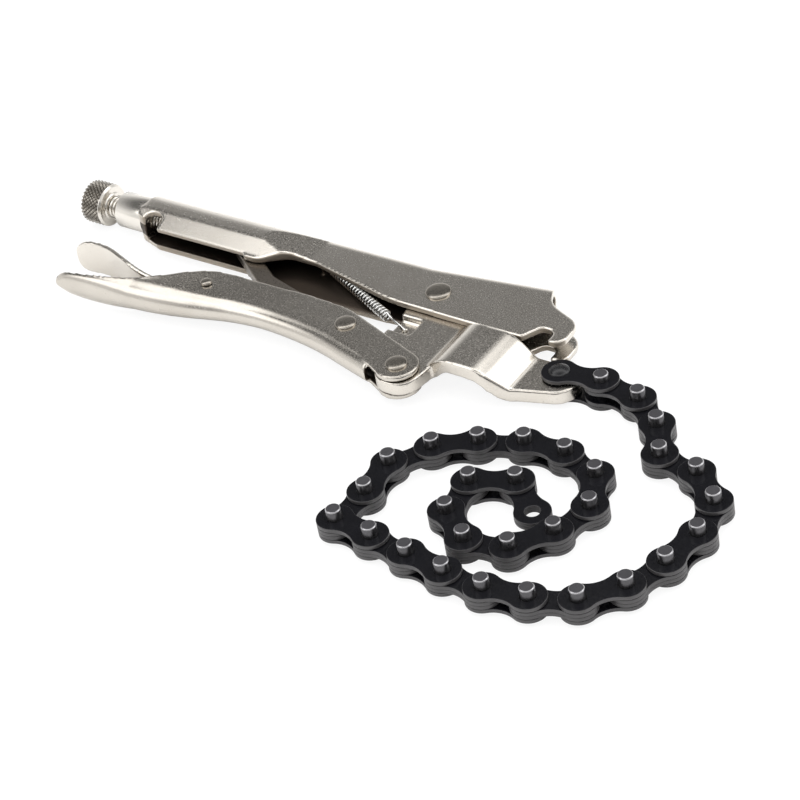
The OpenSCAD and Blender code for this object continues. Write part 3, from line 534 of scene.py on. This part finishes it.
# Stations of the trough from the pivot: along, height of the rims, of the bend, and flare of each wall
LAY = [(-11, 11.5, -5.7, 0), (-15.5, 13.5, -4.5, 0), (-24.5, 17, -2, 0), (-34.5, 20.5, 0.8, 0),
       (-43.5, 21.5, 2.6, 0), (-54.5, 22, 4, 0), (-67.5, 21.8, 4.6, 0), (-79.5, 21.5, 3.5, 0.2),
       (-89.5, 21, 1.5, 0.5), (-97.5, 19.5, -0.3, 1), (-105.5, 15, -1.7, 1.6), (-113.5, 9, -2.8, 2),
       (-121.5, 4, -3.5, 2.2), (-131.5, 0.6, -4.2, 2.1), (-141.5, -1.4, -4.6, 1.6), (-151.5, -2.2, -4.8, 0.6),
       (-155.5, -2.3, -4.8, -0.8), (-158, -2.4, -4.8, -2.8)]
EAR = [(-38, 6.4), (-15.5, -1), (-5, -6.2), (0, 0), (3, 7.4), (-31.5, 19.6), (-38, 21)]


def eased(rows, per_span):
    """Rows of numbers with smooth rows set between them, on a Catmull-Rom curve."""
    result = []
    for i in range(len(rows) - 1):
        a, b, c, d = rows[max(i - 1, 0)], rows[i], rows[i + 1], rows[min(i + 2, len(rows) - 1)]
        for k in range(per_span):
            t = k / per_span
            result.append([0.5 * (2 * q + (r - p) * t + (2 * p - 5 * q + 4 * r - s) * t ** 2
                                  + (3 * q - p - 3 * r + s) * t ** 3) for p, q, r, s in zip(a, b, c, d)])
    return result + [list(rows[-1])]


def trough_row(row, wall, steps=24):
    """One skin of the trough at a station: down a wall, round the back and up the other wall."""
    x, top, outer, flare = row
    half = FRONT_HALF + flare
    bend = min(half, top - outer)
    inner = max(half - wall, LEAST_WIDE * half)
    deep = bend if wall == 0 else max(bend - wall, LEAST_DEEP * bend)
    drawn_in = 1 - DRAFT * min(max((DRAFT_FROM - x) / DRAFT_RUN, 0), 1)
    points = [(x, top, inner)]
    for i in range(steps + 1):
        a = math.pi * i / steps
        points.append((x, outer + bend - deep * math.sin(a), drawn_in * inner * math.cos(a)))
    points.append((x, top, -inner))
    return [(LEVER_PIVOT + Vector(p)) * MM for p in points]


def pressed_trough(rows):
    """The trough as one closed skin: outer face, inner face, rims and both ends."""
    form = bmesh.new()
    skins = []
    for wall in (0, WALL):
        skins.append([[form.verts.new(p) for p in trough_row(row, wall)] for row in rows])
    outer, inner = skins
    n = len(outer[0])
    for a, b in zip(outer, outer[1:]):
        for j in range(n - 1):
            form.faces.new((a[j], a[j + 1], b[j + 1], b[j]))
    for a, b in zip(inner, inner[1:]):
        for j in range(n - 1):
            form.faces.new((a[j], b[j], b[j + 1], a[j + 1]))
    for i in range(len(outer) - 1):
        for j in (0, n - 1):
            form.faces.new((outer[i][j], outer[i + 1][j], inner[i + 1][j], inner[i][j]))
    for i in (0, -1):
        for j in range(n - 1):
            form.faces.new((outer[i][j], inner[i][j], inner[i][j + 1], outer[i][j + 1]))
    return form


def add_plate(form, outline, low, high):
    """A flat plate over an outline from the lever's pivot, between two heights, joined to a form."""
    levels = []
    for z in (low, high):
        levels.append([form.verts.new((LEVER_PIVOT + Vector((x, y, z))) * MM) for x, y in outline])
    form.faces.new(levels[0])
    form.faces.new(levels[1])
    for i in range(len(outline)):
        j = (i + 1) % len(outline)
        form.faces.new((levels[0][i], levels[0][j], levels[1][j], levels[1][i]))


lever_form = pressed_trough(eased(LAY, 8))
disc = [(EAR_RADIUS * math.cos(math.radians(a)), EAR_RADIUS * math.sin(math.radians(a)))
        for a in range(0, 360, 4)]
for low, high in ((EAR_INNER, FRONT_HALF), (-FRONT_HALF, -EAR_INNER)):
    add_plate(lever_form, disc, low, high)
    add_plate(lever_form, EAR, low, high)
bmesh.ops.recalc_face_normals(lever_form, faces=lever_form.faces)
lever_mesh = bpy.data.meshes.new("lever")
lever_form.to_mesh(lever_mesh)
lever_form.free()
# A tint darker than the handle's, as painted shade, beige along the rims, and nearly black in the trough as
# painted shade.
pressed_nickel = plated_steel("satin nickel plate on pressed sheet", "#c6c1b9", "#b3ada4",
                              0.18, 0.28, 0.55, 0.13, sheared=(0.0, 1.0, 0.0),
                              fold=((LEVER_PIVOT.x + DARK_AHEAD) * MM, LEVER_PIVOT.z * MM, -1))
piece("pressed_lever", softened(lever_mesh, 0.42, 9), pressed_nickel, "lever", "satin_nickel", "lever")

# Toggle link.
# A flat bar between the lever's walls, bent a little, whose round rear end bears on the screw's
# tip. It is plated, but lies in the tool's own shade.

# A dull brownish grey that is painted shade, for the bar lying in the shade between the two handles.
toggle_nickel = plated_steel("flat bar nickel in painted shade", "#817a72", "#766f67", 0.26, 0.34, 0.45, 0.2)
piece("toggle_bar", softened(frame["nodes"]["toggle_link"].data, 0.4, 4), toggle_nickel,
      "toggle", "toggle_steel", "toggle_link")

# Release lever.
# A strip of sheet steel whose rear end is pressed into a thumb paddle. It is pinned in the
# lever's trough, and its nose pries the toggle link off its dead point.

# As bright as the handle, so that the paddle catches the light.
strip_nickel = plated_steel("satin nickel plate on strip", "#d8d3cb", "#c8c2b9", 0.18, 0.28, 0.55, 0.22)
piece("release_paddle", softened(frame["nodes"]["release_lever"].data, 0.4, 6), strip_nickel,
      "release", "satin_nickel", "release_lever")

# Chain.
# A leaf chain of blanked steel plates, black-oxidised and oiled, in outer and inner pairs. The
# plates' rims are sheared, so they are rougher than their rolled faces; their grey is a painted reflection of the
# white floor.

PITCH, END_RADIUS, WAIST, PLATE, EDGE = 15.875, 6.4, 8.6, 1.5, 0.22
PIN_RADIUS, PIN_HOLE = 2.65, 2.71
CHAIN_HEIGHT = 4.7
SIDE_PLAY = 0.1
OXIDE_CLOUD, OXIDE_GRIT, GRIT_DEPTH = 5, 0.5, 0.05
ROUND_STEPS, FLANK_STEPS, HOLE_STEPS = 36, 12, 32
FLAT_FACE = 0.95                     # a face counts as flat if its normal is this upright


def oxide(name, face, cloud, smooth, rough, gloss):
    """Black oxide under a film of oil: nearly black, with a soft gloss and faint grey clouds."""
    material = bpy.data.materials.new(name)
    material.use_nodes = True
    tree = material.node_tree
    shader = tree.nodes["Principled BSDF"]
    shader.inputs["Specular IOR Level"].default_value = gloss
    place = add_node(tree, "ShaderNodeTexCoord").outputs["Object"]
    clouds = add_node(tree, "ShaderNodeTexNoise", {
        "Vector": place, "Scale": 1 / (OXIDE_CLOUD * MM), "Detail": 4.0})
    grit = add_node(tree, "ShaderNodeTexNoise", {
        "Vector": place, "Scale": 1 / (OXIDE_GRIT * MM), "Detail": 2.0})
    tint = add_node(tree, "ShaderNodeMix", {"Factor": clouds.outputs["Fac"]}, data_type="RGBA")
    tint.inputs["A"].default_value = linear(face)
    tint.inputs["B"].default_value = linear(cloud)
    tree.links.new(tint.outputs["Result"], shader.inputs["Base Color"])
    blur = add_node(tree, "ShaderNodeMapRange", {
        "Value": grit.outputs["Fac"], "From Min": 0.3, "From Max": 0.7, "To Min": smooth, "To Max": rough})
    tree.links.new(blur.outputs["Result"], shader.inputs["Roughness"])
    bump = add_node(tree, "ShaderNodeBump", {
        "Height": grit.outputs["Fac"], "Strength": 0.15, "Distance": GRIT_DEPTH * MM})
    tree.links.new(bump.outputs["Normal"], shader.inputs["Normal"])
    return material


def ring_points(centre, radius, first, last, steps):
    """Points on an arc about a centre, from the first angle to the last."""
    return [(centre[0] + radius * math.cos(first + (last - first) * i / steps),
             centre[1] + radius * math.sin(first + (last - first) * i / steps)) for i in range(steps + 1)]


def plate_outline():
    """The waisted outline: a round at each pin, joined by hollow flanks that touch both rounds."""
    flank = (PITCH ** 2 / 4 + WAIST ** 2 / 4 - END_RADIUS ** 2) / (2 * END_RADIUS - WAIST)
    centre = (PITCH / 2, WAIST / 2 + flank)
    touch = math.atan2(centre[1], centre[0])
    first = ring_points((0, 0), END_RADIUS, touch, 2 * math.pi - touch, ROUND_STEPS)
    lower = ring_points((centre[0], -centre[1]), flank, math.pi - touch, touch, FLANK_STEPS)[1:-1]
    second = ring_points((PITCH, 0), END_RADIUS, touch - math.pi, math.pi - touch, ROUND_STEPS)
    upper = ring_points(centre, flank, -touch, touch - math.pi, FLANK_STEPS)[1:-1]
    return first + lower + second + upper


def blanked_plate(name, holes):
    """A plate blanked from strip, with rolled-over edges, as a mesh flat on its own middle plane."""
    flat = bpy.data.curves.new(name, "CURVE")
    flat.dimensions = "2D"
    flat.fill_mode = "BOTH"
    flat.extrude = (PLATE / 2 - EDGE) * MM
    flat.bevel_depth = EDGE * MM
    flat.bevel_resolution = 2
    flat.offset = -EDGE * MM
    loops = [plate_outline()] + [ring_points(c, r, 0, 2 * math.pi, HOLE_STEPS)[:-1] for c, r in holes]
    for loop in loops:
        spline = flat.splines.new("POLY")
        spline.points.add(len(loop) - 1)
        for point, (x, y) in zip(spline.points, loop):
            point.co = (x * MM, y * MM, 0, 1)
        spline.use_cyclic_u = True
    host = bpy.data.objects.new(name, flat)
    bpy.context.scene.collection.objects.link(host)
    mesh = evaluated(host)
    bpy.data.objects.remove(host)
    shell = bmesh.new()
    shell.from_mesh(mesh)
    bmesh.ops.remove_doubles(shell, verts=shell.verts, dist=0.002 * MM)
    bmesh.ops.recalc_face_normals(shell, faces=shell.faces)
    rim = shell.faces.layers.int.new("rim")
    for f in shell.faces:
        f.smooth = abs(f.normal.z) < FLAT_FACE
        f[rim] = 1 if f.smooth else 0
    shell.to_mesh(mesh)
    shell.free()
    blank = bpy.data.objects.new(name, mesh)
    bpy.context.scene.collection.objects.link(blank)
    return blank


# Chain pins.
# Ground steel pins, a pair to each outer link, pushed through from below and left standing
# proud on one side, so that any of them can drop into the nose's notch.

PIN_TOP, PIN_FOOT, PIN_RIM = 11.8, 0.3, 0.4
PIN_STEPS = 40
SIDE, END, BEVEL = 0, 1, 2           # how a pin's faces are marked for their finish


def ground_pin():
    """A pin from the floor to its top, with a small bevel below and a larger one above."""
    profile = [(0, 0.01), (0, PIN_RADIUS - PIN_FOOT), (PIN_FOOT, PIN_RADIUS), (PIN_TOP - PIN_RIM, PIN_RADIUS),
               (PIN_TOP - 0.14, PIN_RADIUS - 0.2), (PIN_TOP, PIN_RADIUS - PIN_RIM), (PIN_TOP, 0.01)]
    lathe = bmesh.new()
    rings = [[lathe.verts.new((x * MM, y * MM, z * MM))
              for x, y in ring_points((0, 0), r, 0, 2 * math.pi, PIN_STEPS)[:-1]] for z, r in profile]
    skin_rings(lathe, rings)
    end = lathe.faces.layers.int.new("rim")
    for f in lathe.faces:
        f.smooth = abs(f.normal.z) < FLAT_FACE
        f[end] = END if f.normal.z > FLAT_FACE else BEVEL if f.normal.z > 0.2 else SIDE
    mesh = bpy.data.meshes.new("ground_pin")
    lathe.to_mesh(mesh)
    lathe.free()
    blank = bpy.data.objects.new("ground_pin", mesh)
    bpy.context.scene.collection.objects.link(blank)
    return blank


link_rule, link_ids, given = node_group("leaf_chain_link", [
    ("Plate", "NodeSocketObject"), ("Pin", "NodeSocketObject"), ("Level", "NodeSocketFloat"),
    ("Pins", "NodeSocketInt"), ("Pitch", "NodeSocketFloat"), ("Middle", "NodeSocketFloat"),
    ("First Pin", "NodeSocketVector"), ("Heading", "NodeSocketFloat"), ("Face", "NodeSocketMaterial"),
    ("Rim", "NodeSocketMaterial"), ("Pin Side", "NodeSocketMaterial"), ("Pin End", "NodeSocketMaterial"),
    ("Pin Bevel", "NodeSocketMaterial")])
spread = maths(link_rule, "MULTIPLY", given["Level"], 2.0)
lowest = maths(link_rule, "SUBTRACT", given["Middle"], given["Level"])
first_level = add_node(link_rule, "ShaderNodeCombineXYZ", {"Z": lowest})
next_level = add_node(link_rule, "ShaderNodeCombineXYZ", {"Z": spread})
levels = add_node(link_rule, "GeometryNodeMeshLine", {
    "Count": 2, "Start Location": first_level.outputs[0], "Offset": next_level.outputs[0]})
plate_in = add_node(link_rule, "GeometryNodeObjectInfo", {"Object": given["Plate"], "As Instance": True})
plates = add_node(link_rule, "GeometryNodeInstanceOnPoints", {
    "Points": levels.outputs["Mesh"], "Instance": plate_in.outputs["Geometry"]})
next_pin = add_node(link_rule, "ShaderNodeCombineXYZ", {"X": given["Pitch"]})
pin_spots = add_node(link_rule, "GeometryNodeMeshLine", {
    "Count": given["Pins"], "Offset": next_pin.outputs[0]})
pin_in = add_node(link_rule, "GeometryNodeObjectInfo", {"Object": given["Pin"], "As Instance": True})
pins = add_node(link_rule, "GeometryNodeInstanceOnPoints", {
    "Points": pin_spots.outputs["Mesh"], "Instance": pin_in.outputs["Geometry"]})
marked = add_node(link_rule, "GeometryNodeInputNamedAttribute", {"Name": "rim"},
                  data_type="INT").outputs["Attribute"]
finished = []
for instances, skin, end in ((plates, "Face", "Rim"), (pins, "Pin Side", "Pin End")):
    plain = add_node(link_rule, "GeometryNodeRealizeInstances", {"Geometry": instances.outputs["Instances"]})
    whole = add_node(link_rule, "GeometryNodeSetMaterial", {
        "Geometry": plain.outputs["Geometry"], "Material": given[skin]})
    finished.append(add_node(link_rule, "GeometryNodeSetMaterial", {
        "Geometry": whole.outputs["Geometry"], "Selection": marked, "Material": given[end]}))
on_bevel = add_node(link_rule, "FunctionNodeCompare", data_type="INT", operation="EQUAL")
link_rule.links.new(marked, next(s for s in on_bevel.inputs if s.enabled and s.name == "A"))
next(s for s in on_bevel.inputs if s.enabled and s.name == "B").default_value = BEVEL
bevelled = add_node(link_rule, "GeometryNodeSetMaterial", {
    "Geometry": finished[1].outputs["Geometry"], "Selection": on_bevel.outputs["Result"],
    "Material": given["Pin Bevel"]})
joined = add_node(link_rule, "GeometryNodeJoinGeometry", {"Geometry": finished[0].outputs["Geometry"]})
link_rule.links.new(bevelled.outputs["Geometry"], joined.inputs["Geometry"])
heading = add_node(link_rule, "ShaderNodeCombineXYZ", {"Z": given["Heading"]})
swung = add_node(link_rule, "GeometryNodeTransform", {
    "Geometry": joined.outputs["Geometry"], "Translation": given["First Pin"], "Rotation": heading.outputs[0]})
add_node(link_rule, "NodeGroupOutput", {"Geometry": swung.outputs["Geometry"]})

# Rolled faces are nearly black with an oily gloss, and their sheared rims are dull, with a grey that is a painted
# reflection of the white floor. The pins are bare grey steel with dull sawn ends, and each end's bevel is painted
# bright as a painted highlight.
plate_face = oxide("black oxide on rolled strip", "#0c0c0f", "#131317", 0.12, 0.2, 0.35)
plate_rim = oxide("oxide rims with painted reflection", "#2e2d2e", "#4a4849", 0.34, 0.5, 0.5)
pin_side = plated_steel("ground pin steel", "#5f5e60", "#49484a", 0.26, 0.36, 0.6, 0.15)
pin_end = plated_steel("sawn pin ends", "#5e5d60", "#49484b", 0.45, 0.6, 0.5, 0.4)
# The bevels' pale tint is a painted highlight.
pin_bevel = plated_steel("pin bevels with painted highlight", "#b4b3b5", "#98979a", 0.24, 0.34, 0.6, 0.1)

plate_blank = blanked_plate("plate_blank", [((0, 0), PIN_HOLE), ((PITCH, 0), PIN_HOLE)])
pin_blank = ground_pin()

hinges = [j for j in frame["joints"] if j["name"].startswith("chain_")]
ends = [m["pos_m"] for m in frame["record"]["mounts"] if m["name"] == "chain_end_hole"]
stops = [Vector(j["pos_m"]) for j in hinges] + [Vector(e) for e in ends]
for k, (here, there) in enumerate(zip(stops, stops[1:]), start=1):
    outer = k % 2 == 0
    gap = 2 * (PLATE + SIDE_PLAY) if k == 1 else PLATE + SIDE_PLAY if outer else 0
    step = there - here
    mesh = grown(link_rule, link_ids, {
        "Plate": plate_blank, "Pin": pin_blank, "Level": (gap + PLATE / 2) * MM,
        "Pins": 2 if outer else 0, "Pitch": PITCH * MM, "Middle": CHAIN_HEIGHT * MM,
        "First Pin": Vector((here.x, here.y, 0)), "Heading": math.atan2(step.y, step.x), "Face": plate_face,
        "Rim": plate_rim, "Pin Side": pin_side, "Pin End": pin_end, "Pin Bevel": pin_bevel})
    covered = [f"link_{k:02d}"] + ([f"pins_{k:02d}"] if outer else [])
    piece(f"chain_link_{k:02d}", mesh, None, f"chain_{k:02d}", "black_oxide", *covered)
for blank in (plate_blank, pin_blank):
    bpy.data.objects.remove(blank)

# Anchor rivet.
# A black rivet that ties the first link's two plates across the jaw's tongue. Its head is a low
# dome above, and it is flush below.

ANCHOR_RADIUS, ANCHOR_HEAD, ANCHOR_RISE = 2.7, 3.8, 1.4
ANCHOR_STEPS, DOME_STEP = 48, 9      # points round the rivet, and degrees from ring to ring of its dome

anchor_form = bmesh.new()
chain_top = 2 * CHAIN_HEIGHT
dome = [(chain_top + ANCHOR_RISE * math.cos(math.radians(a)), ANCHOR_HEAD * math.sin(math.radians(a)))
        for a in range(90, 0, -DOME_STEP)]
anchor_profile = [(0, 0.01), (0, ANCHOR_RADIUS), (chain_top, ANCHOR_RADIUS)] + dome
anchor_profile += [(chain_top + ANCHOR_RISE, 0.01)]
rings = [[anchor_form.verts.new((x * MM, y * MM, z * MM))
          for x, y in ring_points((0, 0), r, 0, 2 * math.pi, ANCHOR_STEPS)[:-1]] for z, r in anchor_profile]
skin_rings(anchor_form, rings)
for face in anchor_form.faces:
    face.smooth = True
anchor_mesh = bpy.data.meshes.new("anchor")
anchor_form.to_mesh(anchor_mesh)
anchor_form.free()
anchor_mesh.set_sharp_from_angle(angle=math.radians(40))
# A little greyer than the plates, so that the dome shows on them.
anchor_oxide = oxide("black oxide on a rivet head", "#121214", "#1e1e20", 0.2, 0.32, 0.4)
piece("anchor_rivet_head", anchor_mesh, anchor_oxide, "chain_01", "black_oxide", "anchor_rivet")

# Studio.
# A white table under a large overhead softbox, with smaller ones in front on the left and behind on
# the right. Grey cards behind and in front and a scrim overhead darken what the flat plated faces mirror.

TABLE_HALF, TABLE_DROP = 5.0, 0.1 * MM
TABLE_GLOW, GLOW_SHARE = 1.04, 0.85  # the table's own light, and its share in what the camera sees of it
CARD_AWAY, CARD_WHITE, CARD_STEPS = 3.0, 1.2, 24
# Name, first and last bearing in degrees, foot and top in metres, light at the floor, power of its fall
CARDS = [("rear card", 75, 215, 0.0, 3.7, 1.75, 2.6), ("front card", -110, 15, 0.3, 1.35, 0.5, 0.3)]
SCRIM_RADIUS, SCRIM_HEIGHT, SCRIM_STEPS = 0.65, 1.24, 48
SCRIM_CORE = 0.2                     # radius of its evenly dark middle, in metres
SCRIM_LIGHT = (0.32, 1.5)            # light at its middle and at its rim, where it meets the lamp's
# Name, place in metres, diameter in metres, watts
LAMPS = [("overhead", (-0.05, 0.0, 1.3), 2.2, 18.0), ("front_left", (-0.9, -1.0, 0.9), 0.9, 3.0),
         ("rear_right", (1.1, 0.9, 0.9), 1.2, 6.0)]
ROOM_LIGHT = 0.85                    # the white room, as it lights matt faces; it is seen and mirrored as 1
CAMERA_PLACE = Vector((404.94, -551.34, 533.85)) * MM
CAMERA_AXES = ((0.8177, 0.5549, -0.1532), (-0.2463, 0.5778, 0.7781), (0.5203, -0.5985, 0.6091))
CAMERA_LENS, CAMERA_SENSOR, CAMERA_REACH = 111.7, 36.0, 20.0

# Matt white paper that is mostly burnt out to the eye, but keeps a faint shadow.
table = bpy.data.materials.new("white table")
table.use_nodes = True
paper = table.node_tree
matt = paper.nodes["Principled BSDF"]
matt.inputs["Base Color"].default_value = linear("#f7f7f7")
matt.inputs["Roughness"].default_value = 0.9
matt.inputs["Specular IOR Level"].default_value = 0.0
lit = add_node(paper, "ShaderNodeEmission", {"Strength": TABLE_GLOW})
direct = add_node(paper, "ShaderNodeLightPath").outputs["Is Camera Ray"]
burnt = maths(paper, "MULTIPLY", direct, GLOW_SHARE)
washed = add_node(paper, "ShaderNodeMixShader", {0: burnt, 1: matt.outputs[0], 2: lit.outputs[0]})
paper.links.new(washed.outputs[0], paper.nodes["Material Output"].inputs["Surface"])
floor_mesh = bpy.data.meshes.new("table")
floor_mesh.from_pydata([(-TABLE_HALF, -TABLE_HALF, 0), (TABLE_HALF, -TABLE_HALF, 0),
                        (TABLE_HALF, TABLE_HALF, 0), (-TABLE_HALF, TABLE_HALF, 0)], [], [(0, 1, 2, 3)])
floor_mesh.materials.append(table)
floor = bpy.data.objects.new("table", floor_mesh)
floor.location.z = -TABLE_DROP
bpy.context.scene.collection.objects.link(floor)


def shining(name):
    """A material that only shines, by the strength that is linked to its emission."""
    material = bpy.data.materials.new(name)
    material.use_nodes = True
    tree = material.node_tree
    tree.nodes.remove(tree.nodes["Principled BSDF"])
    glow = add_node(tree, "ShaderNodeEmission")
    tree.links.new(glow.outputs["Emission"], tree.nodes["Material Output"].inputs["Surface"])
    return material, tree, glow.inputs["Strength"]


def hang(name, corners, faces, material):
    """A studio screen that shows only in what the metal mirrors."""
    mesh = bpy.data.meshes.new(name)
    mesh.from_pydata(corners, [], faces)
    mesh.materials.append(material)
    screen = bpy.data.objects.new(name, mesh)
    bpy.context.scene.collection.objects.link(screen)
    screen.visible_camera = False
    screen.visible_diffuse = False
    screen.visible_shadow = False


# Curved cards round the table, which fade from white or grey at the foot to dark at the top.
for name, first, last, low, high, foot, fading in CARDS:
    card_paint, tree, strength = shining(name)
    place = add_node(tree, "ShaderNodeTexCoord").outputs["Object"]
    rise = add_node(tree, "ShaderNodeSeparateXYZ", {0: place})
    fall = add_node(tree, "ShaderNodeMapRange", {
        "Value": rise.outputs["Z"], "From Min": 0.0, "From Max": high, "To Min": 1.0, "To Max": 0.0})
    shade = maths(tree, "POWER", fall.outputs["Result"], fading)
    level = maths(tree, "MULTIPLY", shade, foot)
    capped = maths(tree, "MINIMUM", level, CARD_WHITE)
    tree.links.new(capped, strength)
    corners = []
    for i in range(CARD_STEPS + 1):
        turn = math.radians(first + (last - first) * i / CARD_STEPS)
        corners += [(CARD_AWAY * math.cos(turn), CARD_AWAY * math.sin(turn), z) for z in (low, high)]
    hang(name, corners, [(2 * i, 2 * i + 2, 2 * i + 3, 2 * i + 1) for i in range(CARD_STEPS)], card_paint)

# A round scrim under the overhead lamp, grey at its middle, so that the flats don't burn out from above.
scrim_paint, tree, strength = shining("scrim")
place = add_node(tree, "ShaderNodeTexCoord").outputs["Object"]
level_place = add_node(tree, "ShaderNodeVectorMath", {0: place, 1: (1.0, 1.0, 0.0)}, operation="MULTIPLY")
away = add_node(tree, "ShaderNodeVectorMath", {0: level_place.outputs[0]}, operation="LENGTH")
thin = add_node(tree, "ShaderNodeMapRange", {
    "Value": away.outputs["Value"], "From Min": SCRIM_CORE, "From Max": SCRIM_RADIUS,
    "To Min": SCRIM_LIGHT[0], "To Max": SCRIM_LIGHT[1]}, interpolation_type="SMOOTHSTEP")
tree.links.new(thin.outputs["Result"], strength)
hoop = ring_points((0, 0), SCRIM_RADIUS, 0, 2 * math.pi, SCRIM_STEPS)[:-1]
hang("scrim", [(x, y, SCRIM_HEIGHT) for x, y in hoop], [tuple(range(SCRIM_STEPS))], scrim_paint)

for name, place, size, power in LAMPS:
    lamp = bpy.data.lights.new(name, "AREA")
    lamp.shape = "DISK"
    lamp.size = size
    lamp.energy = power
    light = bpy.data.objects.new(name, lamp)
    light.location = place
    light.rotation_euler = (-Vector(place)).to_track_quat("-Z", "Y").to_euler()
    bpy.context.scene.collection.objects.link(light)

world = bpy.data.worlds.new("white room")
bpy.context.scene.world = world
world.use_nodes = True
sky = world.node_tree
ray = add_node(sky, "ShaderNodeLightPath").outputs
seen = maths(sky, "ADD", ray["Is Camera Ray"], ray["Is Glossy Ray"])
seen = maths(sky, "ADD", seen, ray["Is Transmission Ray"])
level = add_node(sky, "ShaderNodeMapRange", {"Value": seen, "To Min": ROOM_LIGHT, "To Max": 1.0})
sky.nodes["Background"].inputs["Color"].default_value = (1.0, 1.0, 1.0, 1.0)
sky.links.new(level.outputs["Result"], sky.nodes["Background"].inputs["Strength"])

camera = bpy.data.cameras.new("camera")
camera.lens = CAMERA_LENS
camera.sensor_width = CAMERA_SENSOR
camera.clip_end = CAMERA_REACH
view = bpy.data.objects.new("camera", camera)
pose = Matrix(CAMERA_AXES).transposed().to_4x4()
pose.translation = CAMERA_PLACE
view.matrix_world = pose
bpy.context.scene.collection.objects.link(view)
bpy.context.scene.camera = view
bpy.context.scene.view_settings.view_transform = "Standard"
